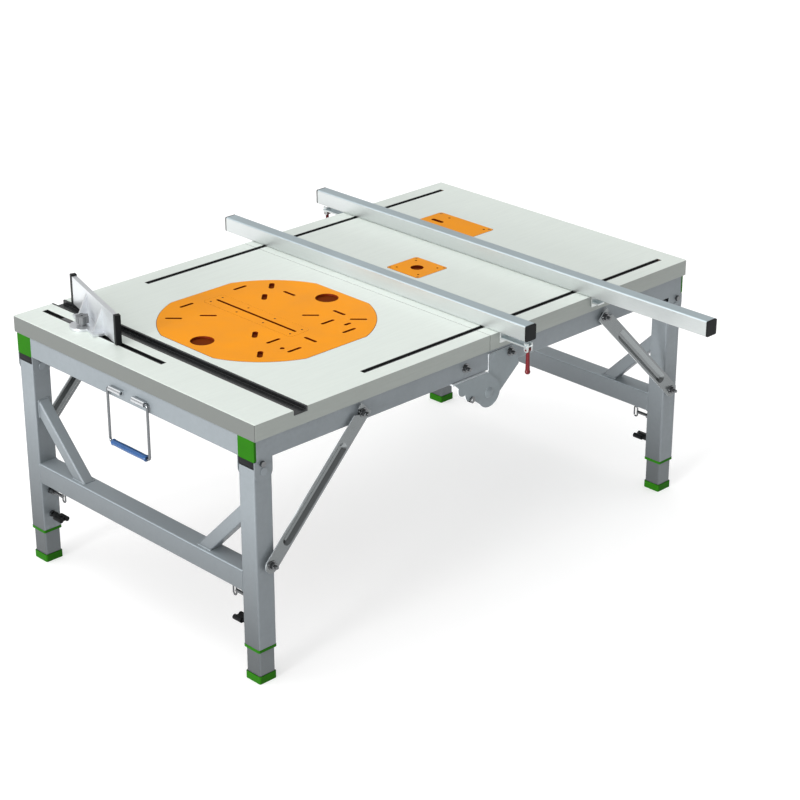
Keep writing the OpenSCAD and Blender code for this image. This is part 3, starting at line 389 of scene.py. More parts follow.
def fastener_finish(colours, groups):
    """Dark plated bolts with a painted highlight on their edges; the flush pivots of the legs wear
    the frame's paint.
    """
    # glint 5.0 is a painted highlight on the edges
    finish, base, gloss = metal_finish(
        "fasteners", (0.17, 0.175, 0.18), 0.19, 1.0, EVEN, 1.0, groups, 160.0, 0.1, 5.0)
    x, _, z = finish.axes()
    off = finish.sums("POWER", finish.sums("SUBTRACT", x, LEG_PIVOT[0]), 2.0)
    rise = finish.sums("POWER", finish.sums("SUBTRACT", z, LEG_PIVOT[1]), 2.0)
    pivot = finish.sums("LESS_THAN", finish.sums("ADD", off, rise), PIVOT_RADIUS ** 2)
    finish.set("Base Color", finish.mix(pivot, base, shade(tuple(colours.silver), 1.1)))
    finish.set("Metallic", finish.span(pivot, 1.0, PAINT_METAL, 0.0, 1.0))
    finish.set("Roughness", finish.mix(pivot, gloss, (PAINT_ROUGH,) * 3))


def brace_finish(zinc, groups):
    """Bright zinc strip with cut edges painted bright as a highlight, painted shade on the downward
    wall of its pressed channel and painted light on the upward one.
    """
    finish, base, _ = metal_finish("brace_steel", zinc, 0.22, 0.85, (1.0, 6.0, 1.0), 1.0,
                                   groups, 40.0, 0.04, 3.0, sheared=True)
    # Painted light and shade: channel walls facing up are lighter, those facing down darker
    _, across, up = finish.facing()
    wall = finish.sums("MULTIPLY", finish.span(across, 1, 0, 0.90, 0.98),
                       finish.sums("GREATER_THAN", across, 0.3))
    side = finish.mix(finish.span(up, 0, 1, -0.1, 0.1), shade(zinc, 1.45), shade(zinc, 0.55))
    finish.set("Base Color", finish.mix(wall, base, side))


def plastic_finish(name, rgb, rough, groups, grain_scale=900.0, relief=0.3, coat=0.0,
                   gloss=0.5):
    """Moulded plastic with a fine spark-eroded texture and lighter rubbed corners."""
    _, rubbed, handling = groups
    finish = Finish(name, rough, 0.0, coat)
    finish.set("Specular IOR Level", gloss)
    marks = finish.group(handling, Scale=16.0, Speck_Scale=grain_scale)
    edge = finish.group(rubbed, Amount=0.45, Scale=140.0)
    tone = finish.mix(finish.span(marks.outputs["Smudge"], 0, 1), shade(rgb, 0.88),
                      shade(rgb, 1.10))
    light = tuple(c * 1.3 + 0.004 for c in rgb)
    finish.set("Base Color", finish.mix(edge.outputs[0], tone, light))
    finish.set("Roughness", finish.span(marks.outputs["Smudge"], rough * 0.85, rough * 1.2))
    finish.bump(marks.outputs["Speck"], relief, 0.00012)
    FINISHES[name] = finish.material


def table_half():
    """Half the table's length and width, in metres."""
    return abs(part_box("left_board")[0].x - MIDDLE.x), abs(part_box("left_board")[0].y - MIDDLE.y)


def laminate_finish(colours, groups):
    """White laminate with faint lengthwise grain on top, and a grey band round the edge with
    painted shade on the end faces.
    """
    grain, rubbed, handling = groups
    finish = Finish("board", 0.42, 0.0, 0.12)
    x, y, z = finish.axes()
    end, _, up = finish.facing()
    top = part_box("left_board")[1].z
    face = finish.span(z, 0.0, 1.0, top - 0.0006, top - 0.0002)
    long_grain = finish.group(grain, Scale=14.0, Stretch=(0.6, 9.0, 4.0), Contrast=1.25)
    fine_grain = finish.group(grain, Scale=55.0, Stretch=(0.35, 14.0, 4.0), Contrast=1.0)
    marks = finish.group(handling, Scale=4.0, Speck_Scale=700.0)
    edge = finish.group(rubbed, Amount=0.35, Scale=60.0)
    white = tuple(colours.laminate)
    band = tuple(colours.board_edge)
    broad = finish.mix(finish.span(long_grain.outputs[0], 0, 1, 0.35, 0.62),
                       shade(white, 0.955), white)
    figure = finish.mix(finish.span(fine_grain.outputs[0], 0, 0.4, 0.4, 0.7), broad,
                        shade(white, 1.04))
    clouded = finish.mix(finish.span(marks.outputs["Smudge"], 0, 0.35), figure,
                         shade(white, 0.95))
    half_x, half_y = table_half()
    banding = finish.mix(finish.span(fine_grain.outputs[0], 0, 1), shade(band, 0.965),
                         shade(band, 1.03))
    # Painted shade: the band is darker on the end faces, along X
    banding = finish.mix(finish.sums("GREATER_THAN", end, 0.8), banding, shade(band, 0.38))
    joint, strip = 0.0016, 0.004
    corner = finish.sums("MULTIPLY", finish.sums("GREATER_THAN", x, half_x - joint),
                         finish.sums("GREATER_THAN", y, half_y - joint))
    banding = finish.mix(corner, banding, shade(band, 0.22))
    banded = finish.sums("MAXIMUM", finish.sums("GREATER_THAN", x, half_x - strip),
                         finish.sums("GREATER_THAN", y, half_y - strip))
    banded = finish.sums("MAXIMUM", banded, finish.sums("LESS_THAN", x, 0.002))
    banded = finish.sums("MAXIMUM", banded, finish.sums("LESS_THAN", up, -0.5))
    core = tuple(colours.core)
    fibre = finish.mix(finish.span(marks.outputs["Speck"], 0, 1), shade(core, 0.7),
                       shade(core, 1.3))
    both = finish.mix(face, finish.mix(banded, fibre, banding), clouded)
    finish.set("Base Color", finish.mix(edge.outputs[0], both, shade(white, 1.02)))
    finish.set("Roughness", finish.span(marks.outputs["Smudge"], 0.36, 0.50))
    finish.bump(fine_grain.outputs[0], 0.12, 0.00012)
    FINISHES["board"] = finish.material


def enamel_finish(colours, groups):
    """Orange enamel on the tool plates, a little uneven, with painted shade on the walls of
    their slots.
    """
    _, rubbed, handling = groups
    rgb = tuple(colours.orange)
    finish = Finish("orange_plate", 0.46, 0.0)
    finish.set("Specular IOR Level", 0.1)
    marks = finish.group(handling, Scale=11.0, Speck_Scale=380.0)
    edge = finish.group(rubbed, Amount=0.5, Scale=110.0)
    tone = finish.mix(finish.span(marks.outputs["Smudge"], 0, 1), shade(rgb, 0.94),
                      shade(rgb, 1.03))
    tone = finish.mix(edge.outputs[0], tone, SCRAPED_ENAMEL)
    # Painted shade: walls and rims, faces not flat on top, take the dark slot colour
    wall = finish.sums("LESS_THAN", finish.sums("ABSOLUTE", finish.facing()[2]), 0.9)
    finish.set("Base Color", finish.mix(wall, tone, tuple(colours.slot_wall)))
    finish.set("Roughness", finish.span(marks.outputs["Smudge"], 0.40, 0.54))
    finish.bump(marks.outputs["Speck"], 0.22, 0.0002)
    FINISHES["orange_plate"] = finish.material


def make_finishes():
    """Every material, named as the record's slots."""
    colours = bpy.context.scene.bench_colours
    groups = (grain_group(), wear_group(), handling_group())
    laminate_finish(colours, groups)
    enamel_finish(colours, groups)
    frame_finish(colours, groups)
    fastener_finish(colours, groups)
    # Sliding legs: painted shade darkens their end faces towards the floor
    metal_finish("inner_steel", tuple(colours.dull), 0.40, 0.35, (14.0, 14.0, 0.8), 0.4, groups,
                 relief=0.1, low=0.4)
    # Hinge leaves: cut and rubbed edges painted bright, a painted highlight
    metal_finish("leaf_steel", tuple(colours.pressed), 0.40, 0.35, EVEN, 1.0, groups,
                 90.0, 0.05, 2.4, sheared=True)
    brace_finish(tuple(colours.zinc), groups)
    finish, base, _ = metal_finish("fence_aluminium", tuple(colours.aluminium), 0.36, 0.85,
                                   (14.0, 0.7, 14.0), 0.3, groups, relief=0.1, glint=1.1)
    # Painted shade: the top faces take a darker, bluer grey than the sides
    fence_top = finish.sums("GREATER_THAN", finish.facing()[2], 0.5)
    finish.set("Base Color", finish.mix(fence_top, base, FENCE_TOP_SHADE))
    metal_finish("gauge_aluminium", (0.66, 0.68, 0.70), 0.34, 0.8, (4.0, 4.0, 4.0), 0.4, groups,
                 50.0)
    metal_finish("handle_steel", (0.20, 0.21, 0.22), 0.22, 1.0, EVEN, 0.2, groups, 140.0, 0.1)
    black = tuple(colours.black)
    plastic_finish("green_plastic", tuple(colours.green), 0.48, groups, gloss=0.05)
    plastic_finish("black_track", black, 0.26, groups, 600.0, 0.12)
    plastic_finish("black_plastic", shade(black, 0.6), 0.42, groups, gloss=0.12)
    plastic_finish("red_plastic", tuple(colours.red), 0.28, groups, 300.0, 0.1, 0.1, 0.3)
    plastic_finish("grey_plastic", (0.10, 0.105, 0.11), 0.5, groups)
    plastic_finish("blue_grip", tuple(colours.blue), 0.30, groups, 800.0, 0.2, 0.6, 0.3)
    # Dark sheet under the plates: painted shade seen through their holes and slots
    plastic_finish("dust_sheet", (0.13, 0.020, 0.001), 0.8, groups, 500.0, 0.3, gloss=0.05)
    metal_finish("black_screws", (0.035, 0.016, 0.008), 0.42, 0.4, EVEN, 0.2, groups, 200.0, 0.1)


# Meshes


def finish_piece(piece, body, slot, replaced=()):
    """Gives a finished piece its material, picked by its slot, and its body."""
    if not piece.data.materials:
        piece.data.materials.append(FINISHES[slot])
    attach(piece, body)
    if replaced:
        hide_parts(*replaced)
    return piece


def smooth(mesh):
    """Shades smooth, and keeps the edges sharper than the chosen angle."""
    limit = bpy.context.scene.bench_detail.smooth_angle
    for face in mesh.polygons:
        face.use_smooth = True
    work = bmesh.new()
    work.from_mesh(mesh)
    for edge in work.edges:
        if len(edge.link_faces) == 2 and edge.calc_face_angle(0.0) > limit:
            edge.smooth = False
    work.to_mesh(mesh)
    work.free()


def linked(name, mesh):
    """An object at the origin for a mesh."""
    piece = bpy.data.objects.new(name, mesh)
    bpy.context.scene.collection.objects.link(piece)
    return piece


def baked(piece, name=None):
    """Turns an object with live modifiers into one with a plain mesh."""
    bpy.context.view_layer.update()
    graph = bpy.context.evaluated_depsgraph_get()
    mesh = bpy.data.meshes.new_from_object(piece.evaluated_get(graph), depsgraph=graph)
    mesh.name = name or piece.name
    if not mesh.polygons:
        raise RuntimeError(f"{piece.name} came out empty")
    made = piece.name
    bpy.data.objects.remove(piece)
    return linked(name or made, mesh)


def merged_copy(source):
    """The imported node's mesh with its doubles merged and its flat faces joined."""
    work = bmesh.new()
    work.from_mesh(NODES[source].data)
    bmesh.ops.remove_doubles(work, verts=work.verts, dist=2e-6)
    bmesh.ops.dissolve_limit(
        work, angle_limit=math.radians(0.4), use_dissolve_boundaries=False,
        verts=work.verts, edges=work.edges, delimit={"NORMAL"})
    mesh = bpy.data.meshes.new(source + "_dressed")
    work.to_mesh(mesh)
    work.free()
    return mesh


def dressed(source, rounding=None, segments=2):
    """A node's shape with its sharp edges rounded, in place of the node."""
    mesh = merged_copy(source)
    piece = linked(source + "_shape", mesh)
    bevel = piece.modifiers.new("Rounded edges", "BEVEL")
    bevel.width = rounding or bpy.context.scene.bench_detail.edge_round
    bevel.segments = segments
    bevel.limit_method = "ANGLE"
    bevel.angle_limit = math.radians(38)
    bevel.use_clamp_overlap = True
    bevel.harden_normals = False
    piece = baked(piece, source + "_bevelled")
    smooth(piece.data)
    even = piece.modifiers.new("Flat faces stay flat", "WEIGHTED_NORMAL")
    even.keep_sharp = True
    even.weight = 80
    piece = baked(piece, source + "_dressed")
    low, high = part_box(source)
    for point in piece.data.vertices:
        point.co = [min(max(c, low[i]), high[i]) for i, c in enumerate(point.co)]
    return finish_piece(piece, BODY_OF[source], SLOT_OF[source], (source,))


def lathe(profile, steps=48):
    """A closed turned shape round Z from (radius, height) pairs in metres."""
    work = bmesh.new()
    rings = []
    for radius, height in profile:
        if radius < 1e-7:
            rings.append([work.verts.new((0, 0, height))])
        else:
            rings.append([
                work.verts.new((radius * math.cos(a), radius * math.sin(a), height))
                for a in (2 * math.pi * i / steps for i in range(steps))])
    for low, high in zip(rings, rings[1:]):
        for i in range(steps):
            j = (i + 1) % steps
            loop = [low[i % len(low)], low[j % len(low)], high[j % len(high)], high[i % len(high)]]
            loop = list(dict.fromkeys(loop))
            if len(loop) > 2:
                work.faces.new(loop)
    bmesh.ops.recalc_face_normals(work, faces=work.faces)
    mesh = bpy.data.meshes.new("turned")
    work.to_mesh(mesh)
    work.free()
    return mesh


def box_mesh(low, high, rounding):
    """A block between two corners, with rounded edges."""
    work = bmesh.new()
    bmesh.ops.create_cube(work, size=1.0)
    size, centre = high - low, (high + low) / 2
    for vert in work.verts:
        vert.co = Vector((vert.co.x * size.x, vert.co.y * size.y, vert.co.z * size.z)) + centre
    bmesh.ops.bevel(
        work, geom=work.edges[:], offset=rounding, segments=3, profile=0.6, affect="EDGES")
    mesh = bpy.data.meshes.new("block")
    work.to_mesh(mesh)
    work.free()
    return mesh


def joined(name, meshes):
    """Several meshes as one piece."""
    work = bmesh.new()
    for mesh in meshes:
        work.from_mesh(mesh)
    made = bpy.data.meshes.new(name)
    work.to_mesh(made)
    work.free()
    return linked(name, made)


# Geometry Nodes trees for what repeats

FULL_TURN = 6.283
WELD_RIPPLE = 0.22


def geometry_tree(name, inputs):
    """A modifier tree with named inputs after its geometry."""
    tree = bpy.data.node_groups.new(name, "GeometryNodeTree")
    tree.interface.new_socket(name="Geometry", in_out="INPUT", socket_type="NodeSocketGeometry")
    for label, kind, default in inputs:
        socket = tree.interface.new_socket(name=label, in_out="INPUT", socket_type=kind)
        if default is not None:
            socket.default_value = default
    tree.interface.new_socket(name="Geometry", in_out="OUTPUT", socket_type="NodeSocketGeometry")
    return tree, tree.nodes.new("NodeGroupInput"), tree.nodes.new("NodeGroupOutput")


def run_tree(piece, tree, values, name):
    """Adds the tree with its inputs set by identifier and bakes the result."""
    modifier = piece.modifiers.new(tree.name, "NODES")
    modifier.node_group = tree
    for item in tree.interface.items_tree:
        if item.in_out == "INPUT" and item.name in values:
            modifier[item.identifier] = values[item.name]
    return baked(piece, name)


def random_number(tree, high, seed):
    """The output of a random number from 0 to high, which is a number or a socket."""
    made = node(tree, "FunctionNodeRandomValue", data_type="FLOAT", Seed=seed)
    floats = [s for s in made.inputs if s.type == "VALUE" and s.enabled]
    feed(tree, 0.0, floats[0])
    feed(tree, high, floats[1])
    return [s for s in made.outputs if s.type == "VALUE" and s.enabled][0]


def end_tree(tree, shape, into, out):
    """Makes instances real and sets the material."""
    real = node(tree, "GeometryNodeRealizeInstances", in_0=shape)
    paint = node(tree, "GeometryNodeSetMaterial", Geometry=real.outputs[0],
                 Material=into.outputs["Material"])
    tree.links.new(paint.outputs[0], out.inputs[0])
    return tree


def scatter_tree():
    """Repeats one shape on points, each turned by a fixed-seed angle about its own axis."""
    tree, into, out = geometry_tree("Repeat on points", [
        ("Shape", "NodeSocketObject", None), ("Tilt", "NodeSocketVector", (0.0, 0.0, 0.0)),
        ("Turn", "NodeSocketFloat", FULL_TURN), ("Size", "NodeSocketFloat", 1.0),
        ("Seed", "NodeSocketInt", 7), ("Material", "NodeSocketMaterial", None)])
    info = node(tree, "GeometryNodeObjectInfo", Object=into.outputs["Shape"])
    spots = node(tree, "GeometryNodeMeshToPoints", Mesh=into.outputs["Geometry"])
    angle = random_number(tree, into.outputs["Turn"], into.outputs["Seed"])
    spin = node(tree, "ShaderNodeCombineXYZ", Z=angle)
    spread = node(tree, "GeometryNodeInstanceOnPoints", Points=spots.outputs[0],
                  Instance=info.outputs["Geometry"], Rotation=into.outputs["Tilt"],
                  Scale=into.outputs["Size"])
    turned = node(tree, "GeometryNodeRotateInstances", Instances=spread.outputs[0],
                  Rotation=spin.outputs[0])
    return end_tree(tree, turned.outputs[0], into, out)


def bead_tree():
    """Sweeps a rippled bead along lines, for welds."""
    tree, into, out = geometry_tree("Weld bead", [
        ("Radius", "NodeSocketFloat", 0.002), ("Pitch", "NodeSocketFloat", 0.002),
        ("Ripple", "NodeSocketFloat", WELD_RIPPLE), ("Seed", "NodeSocketInt", 7),
        ("Material", "NodeSocketMaterial", None)])
    lines = node(tree, "GeometryNodeMeshToCurve", Mesh=into.outputs["Geometry"])
    even = node(tree, "GeometryNodeResampleCurve", mode="LENGTH", Curve=lines.outputs[0],
                Length=into.outputs["Pitch"])
    ripple = random_number(tree, 1.0, into.outputs["Seed"])
    wobble = sums(tree, "MULTIPLY", ripple, into.outputs["Ripple"])
    less = sums(tree, "SUBTRACT", 1.0, wobble)
    size = node(tree, "GeometryNodeSetCurveRadius", Curve=even.outputs[0], Radius=less)
    ring = node(tree, "GeometryNodeCurvePrimitiveCircle", Resolution=8,
                Radius=into.outputs["Radius"])
    sweep = node(tree, "GeometryNodeCurveToMesh", Curve=size.outputs[0],
                 Profile_Curve=ring.outputs["Curve"], Fill_Caps=True)
    if "Scale" in sweep.inputs:
        tree.links.new(less, sweep.inputs["Scale"])
    soft = node(tree, "GeometryNodeSetShadeSmooth", Geometry=sweep.outputs[0])
    return end_tree(tree, soft.outputs[0], into, out)


TREES = {}


def points_piece(name, places):
    """A mesh of loose points."""
    mesh = bpy.data.meshes.new(name)
    mesh.from_pydata([tuple(p) for p in places], [], [])
    return linked(name, mesh)


def repeated(name, shape, places, body, slot, finish):
    """One shape on many places, each turned at random about Z, as one plain mesh."""
    source = linked(name + "_one", shape)
    piece = run_tree(points_piece(name + "_spots", places), TREES["scatter"], {
        "Shape": source, "Tilt": (0, 0, 0), "Turn": FULL_TURN, "Size": 1.0,
        "Seed": bpy.context.scene.bench_detail.seed, "Material": FINISHES[finish]}, name)
    bpy.data.objects.remove(source)
    smooth(piece.data)
    return finish_piece(piece, body, slot)


def weld(name, loops, body, slot):
    """Weld beads along closed lines."""
    detail = bpy.context.scene.bench_detail
    verts, edges = [], []
    for line in loops:
        start, count = len(verts), len(line)
        verts += [tuple(p) for p in line]
        edges += [(start + i, start + (i + 1) % count) for i in range(count)]
    mesh = bpy.data.meshes.new(name)
    mesh.from_pydata(verts, edges, [])
    piece = run_tree(linked(name + "_line", mesh), TREES["bead"], {
        "Radius": detail.weld_radius, "Pitch": detail.weld_pitch, "Ripple": WELD_RIPPLE,
        "Seed": detail.seed, "Material": FINISHES[slot]}, name)
    return finish_piece(piece, body, slot)


def rectangle_y(x0, x1, z0, z1, y):
    """Corners of a rectangle that faces along Y, in millimetres."""
    return [at(x0, y, z0), at(x1, y, z0), at(x1, y, z1), at(x0, y, z1)]


def cross_screw(radius):
    """A countersunk screw head with a cross recess, its face at z = 0."""
    work = bmesh.new()
    arm, reach, depth, taper = radius * 0.16, radius * 0.62, radius * 0.42, 0.55
    outline = [
        (arm, arm), (arm, reach), (-arm, reach), (-arm, arm), (-reach, arm), (-reach, -arm),
        (-arm, -arm), (-arm, -reach), (arm, -reach), (arm, -arm), (reach, -arm), (reach, arm)]
    top = [work.verts.new((x, y, 0)) for x, y in outline]
    floor = [work.verts.new((x * taper, y * taper, -depth)) for x, y in outline]
    steps = 24
    angles = [2 * math.pi * (i + 0.5) / steps for i in range(steps)]
    rim, lip = ([work.verts.new((r * math.cos(a), r * math.sin(a), z)) for a in angles]
                for r, z in ((radius * 0.94, 0), (radius, -radius * 0.07)))
    low = [work.verts.new((v.co.x * taper, v.co.y * taper, -radius * 0.6)) for v in lip]
    count = len(outline)
    for i in range(count):
        j = (i + 1) % count
        work.faces.new((top[i], floor[i], floor[j], top[j]))
    work.faces.new(floor)
    for i in range(steps):
        j = (i + 1) % steps
        work.faces.new((rim[i], lip[i], lip[j], rim[j]))
        work.faces.new((lip[i], low[i], low[j], lip[j]))
    work.faces.new(list(reversed(low)))
    edges = [e for e in work.edges if all(abs(v.co.z) < 1e-9 for v in e.verts)]
    bmesh.ops.triangle_fill(work, edges=edges, use_beauty=True)
    bmesh.ops.recalc_face_normals(work, faces=work.faces)
    mesh = bpy.data.meshes.new("cross_screw")
    work.to_mesh(mesh)
    work.free()
    return mesh


# Operators, one for each piece or group of like pieces


class BuildOperator(bpy.types.Operator):
    """Shared run of the build operators."""

    bl_options = {"REGISTER"}

    def execute(self, context):
        """Build, and let any error stop the script."""
        self.build(context.scene.bench_detail)
        return {"FINISHED"}


class DressOperator(BuildOperator):
    """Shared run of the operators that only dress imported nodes."""

    places = SIDES
    shapes = ()

    def build(self, detail):
        """Dress each shape, given by name, edge rounding and its segments, at each place."""
        for place in self.places:
            for name, rounding, segments in self.shapes:
                dressed(name.format(place), rounding, segments)


class BENCH_OT_finishes(BuildOperator):
    """Make the materials and the trees for what repeats."""

    bl_idname = "bench.finishes"
    bl_label = "Finishes"

    def build(self, detail):
        """Build the finishes."""
        make_finishes()
        TREES["scatter"] = scatter_tree()
        TREES["bead"] = bead_tree()


class BENCH_OT_boards(BuildOperator):
    """Dress the two laminated boards and the tracks let into them."""

    bl_idname = "bench.boards"
    bl_label = "Boards and tracks"

    def build(self, detail):
        """Build the boards."""
        for side in SIDES:
            dressed(side + "_board", detail.board_round, 3)
            dressed(side + "_tracks", 0.0004, 1)


class BENCH_OT_plates(BuildOperator):
    """Dress the tool plates and set their screws."""

    bl_idname = "bench.plates"
    bl_label = "Tool plates"

    def build(self, detail):
        """Build the plates and their screws."""
        for name in ("saw_plate", "router_plate", "jigsaw_plate"):
            dressed(name, 0.0006, 2)
        dressed("saw_insert", 0.00145, 4)
        low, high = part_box("saw_insert")
        centre = (low + high) / 2
        side, pitch, sunk = 0.018, 0.093, 0.0003
        seats = [Vector((centre.x + sx * side, centre.y + i * pitch, high.z - sunk))
                 for sx in (-1, 1) for i in (-1.5, -0.5, 0.5, 1.5)]
        repeated("insert_screws", cross_screw(detail.screw_radius), seats,
                 BODY_OF["saw_insert"], "fasteners", "black_screws")
        proud = 0.0001
        for name, inset, radius in (("jigsaw_plate", 0.009, 0.0036),
                                    ("router_plate", 0.007, 0.003)):
            low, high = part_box(name)
            seats = [Vector((x, y, high.z + proud)) for x in (low.x + inset, high.x - inset)
                     for y in (low.y + inset, high.y - inset)]
            repeated(name + "_screws", cross_screw(radius), seats, "right_half", "fasteners",
                     "black_screws")
        for name, margin in (("saw_plate", 0.017), ("router_plate", 0.013),
                             ("jigsaw_plate", 0.013)):
            self.sheet_under(name, margin, BODY_OF[name])

    def sheet_under(self, name, margin, body):
        """A thin dark sheet close under a plate, in its opening: painted shade that shows in its
        holes.
        """
        low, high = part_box(name)
        centre, half = (low + high) / 2, (high - low) / 2 - Vector((margin, margin, 0))
        work = bmesh.new()
        rim, steps = [], 96
        for i in range(steps):
            angle = 2 * math.pi * (i + 0.5) / steps
            reach = 1.0 / max(abs(math.cos(angle)) / half.x, abs(math.sin(angle)) / half.y)
            if name == "saw_plate":
                reach = min(reach, SAW_OPENING - 0.0015)
            rim.append((centre.x + reach * math.cos(angle), centre.y + reach * math.sin(angle)))
        top, under = low.z - 0.0003, low.z - 0.0011
        rings = [[work.verts.new((x, y, z)) for x, y in rim] for z in (top, under)]
        for i in range(steps):
            j = (i + 1) % steps
            work.faces.new((rings[0][i], rings[1][i], rings[1][j], rings[0][j]))
        for ring, z, flip in ((rings[0], top, False), (rings[1], under, True)):
            hub = work.verts.new((centre.x, centre.y, z))
            for i in range(steps):
                pair = (ring[i], ring[(i + 1) % steps])
                work.faces.new((hub, *(reversed(pair) if flip else pair)))
        bmesh.ops.recalc_face_normals(work, faces=work.faces)
        mesh = bpy.data.meshes.new(name + "_dust_sheet")
        work.to_mesh(mesh)
        work.free()
        mesh.materials.append(FINISHES["dust_sheet"])
        finish_piece(linked(name + "_dust_sheet", mesh), body, "black_plastic")


class BENCH_OT_frame_tubes(BuildOperator):
    """Dress the rails, their plugs and bearers, and add black blocks over the legs as painted
    shade.
    """

    bl_idname = "bench.frame_tubes"
    bl_label = "Rails and plugs"
    # Two corners of one black block over a leg, painted shade in the gap under the rail, in mm
    # from the table's middle
    buffer = ((684.8, 366.1, 518.6), (697.2, 415.0, 533.7))

    def build(self, detail):
        """Build the rails."""
        for side in SIDES:
            dressed(side + "_side_rails", 0.0004, 1)
            dressed(side + "_cross_rails", 0.0004, 1)
            dressed(side + "_rail_plugs", 0.0008, 2)
        for side, sx in (("left", -1), ("right", 1)):
            blocks = []
            for sy in (-1, 1):
                corners = [at(sx * x, sy * y, z) for x, y, z in self.buffer]
                blocks.append(box_mesh(Vector(map(min, *corners)), Vector(map(max, *corners)),
                                       0.0012))
            piece = joined(side + "_leg_buffers", blocks)
            smooth(piece.data)
            finish_piece(piece, side + "_half", "black_plastic")


class BENCH_OT_hinge(BuildOperator):
    """Dress the leaves and pins of the centre hinge."""

    bl_idname = "bench.hinge"
    bl_label = "Centre hinge"

    def build(self, detail):
        """Build the centre hinge."""
        for side in SIDES:
            dressed(side + "_hinge_leaves", 0.0007, 2)
        pins = dressed("hinge_pins", 0.0006, 2)
        pins.data.materials[0] = FINISHES["leaf_steel"]


class BENCH_OT_leg_frames(DressOperator):
    """Dress the leg tubes, crossbars and collars."""

    bl_idname = "bench.leg_frames"
    bl_label = "Leg frames"
    shapes = (("{}_leg_tubes", 0.0004, 1),
              ("{}_leg_crossbar", 0.0004, 1),
              ("{}_leg_collars", 0.0009, 2))


class BENCH_OT_inner_legs(DressOperator):
    """Dress the sliding legs and their foot caps."""

    bl_idname = "bench.inner_legs"
    bl_label = "Sliding legs"
    places = LEGS
    shapes = (("inner_leg_{}", 0.0004, 1),
              ("foot_{}", 0.0013, 3))


class BENCH_OT_braces(DressOperator):
    """Dress the pressed braces."""

    bl_idname = "bench.braces"
    bl_label = "Braces"
    places = LEGS
    shapes = (("brace_{}", 0.0007, 2),)


class BENCH_OT_locks(DressOperator):
    """Dress the spring pins and the clamp knobs of the legs."""

    bl_idname = "bench.locks"
    bl_label = "Leg locks"
    places = LEGS
    shapes = (("lock_pin_{}", 0.0004, 1),
              ("lock_knob_{}", 0.0016, 3))


class BENCH_OT_fasteners(DressOperator):
    """Dress the bolts, nuts and washers."""

    bl_idname = "bench.fasteners"
    bl_label = "Bolts and nuts"
    shapes = (("{}_frame_bolts", 0.0005, 2),
              ("{}_leg_bolts", 0.0005, 2))


class BENCH_OT_fences(DressOperator):
    """Dress the two fences with their caps and clamp levers."""

    bl_idname = "bench.fences"
    bl_label = "Fences"
    places = "12"
    shapes = (("fence_{}_rail", 0.0003, 1),
              ("fence_{}_caps", 0.0008, 2),
              ("fence_{}_lever", 0.0005, 1))


class BENCH_OT_gauge(DressOperator):
    """Dress the angle gauge."""

    bl_idname = "bench.gauge"
    bl_label = "Angle gauge"
    places = ("guide", "head", "fence", "caps", "knob")
    shapes = (("gauge_{}", 0.0006, 2),)


class BENCH_OT_carry_handle(BuildOperator):
    """Dress the carry handle's bail and shape its ribbed grip."""

    bl_idname = "bench.carry_handle"
    bl_label = "Carry handle"

    def build(self, detail):
        """Build the carry handle."""
        dressed("handle_bail", 0.0003, 1)
        low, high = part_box("handle_grip")
        centre = (low + high) / 2
        length, radius = high.y - low.y, (high.x - low.x) / 2
        bore = radius * 0.42
        profile = [(bore, -length / 2), (radius * 0.86, -length / 2),
                   (radius * 0.98, -length / 2 + 0.0015), (radius * 0.98, -length / 2 + 0.004)]
        ribs = detail.grip_ribs
        span = length - 0.016
        for i in range(ribs * 6 + 1):
            t = i / (ribs * 6)
            wave = 0.5 - 0.5 * math.cos(2 * math.pi * ribs * t)
            belly = 0.90 + 0.06 * math.sin(math.pi * t)
            profile.append((radius * (belly - 0.07 + 0.07 * wave), -span / 2 + span * t))
        profile += [(radius * 0.98, length / 2 - 0.004), (radius * 0.98, length / 2 - 0.0015),
                    (radius * 0.86, length / 2), (bore, length / 2), (bore, -length / 2)]
        mesh = lathe(profile, 40)
        mesh.transform(Matrix.Translation(centre) @ Matrix.Rotation(math.radians(-90), 4, "X"))
        piece = linked("handle_grip_ribbed", mesh)
        smooth(piece.data)
        finish_piece(piece, "carry_handle", "blue_grip", ("handle_grip",))


class BENCH_OT_welds(BuildOperator):
    """Lay the weld beads of the leg frames' crossbars and gussets."""

    bl_idname = "bench.welds"
    bl_label = "Weld beads"

    def build(self, detail):
        """Build the weld beads."""
        for side in SIDES:
            bar_low, bar_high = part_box(side + "_leg_crossbar")
            x0, x1 = (bar_low - MIDDLE).x / MM, (bar_high - MIDDLE).x / MM
            inner = (bar_high - MIDDLE).y / MM
            z0 = bar_low.z / MM
            mid = (x0 + x1) / 2
            loops = []
            for sy in (-1, 1):
                loops.append(rectangle_y(x0 + 1, x1 - 1, z0 + 1, z0 + 49, sy * inner))
                loops.append(rectangle_y(mid - 15, mid + 15, z0 + 168, z0 + 210, sy * inner))
                loops.append([at(mid + dx, sy * y, z0 + 50) for dx, y in
                              ((-15, 205.6), (15, 205.6), (15, 247.8), (-15, 247.8))])
            weld(side + "_leg_welds", loops, side + "_legs", "frame_steel")


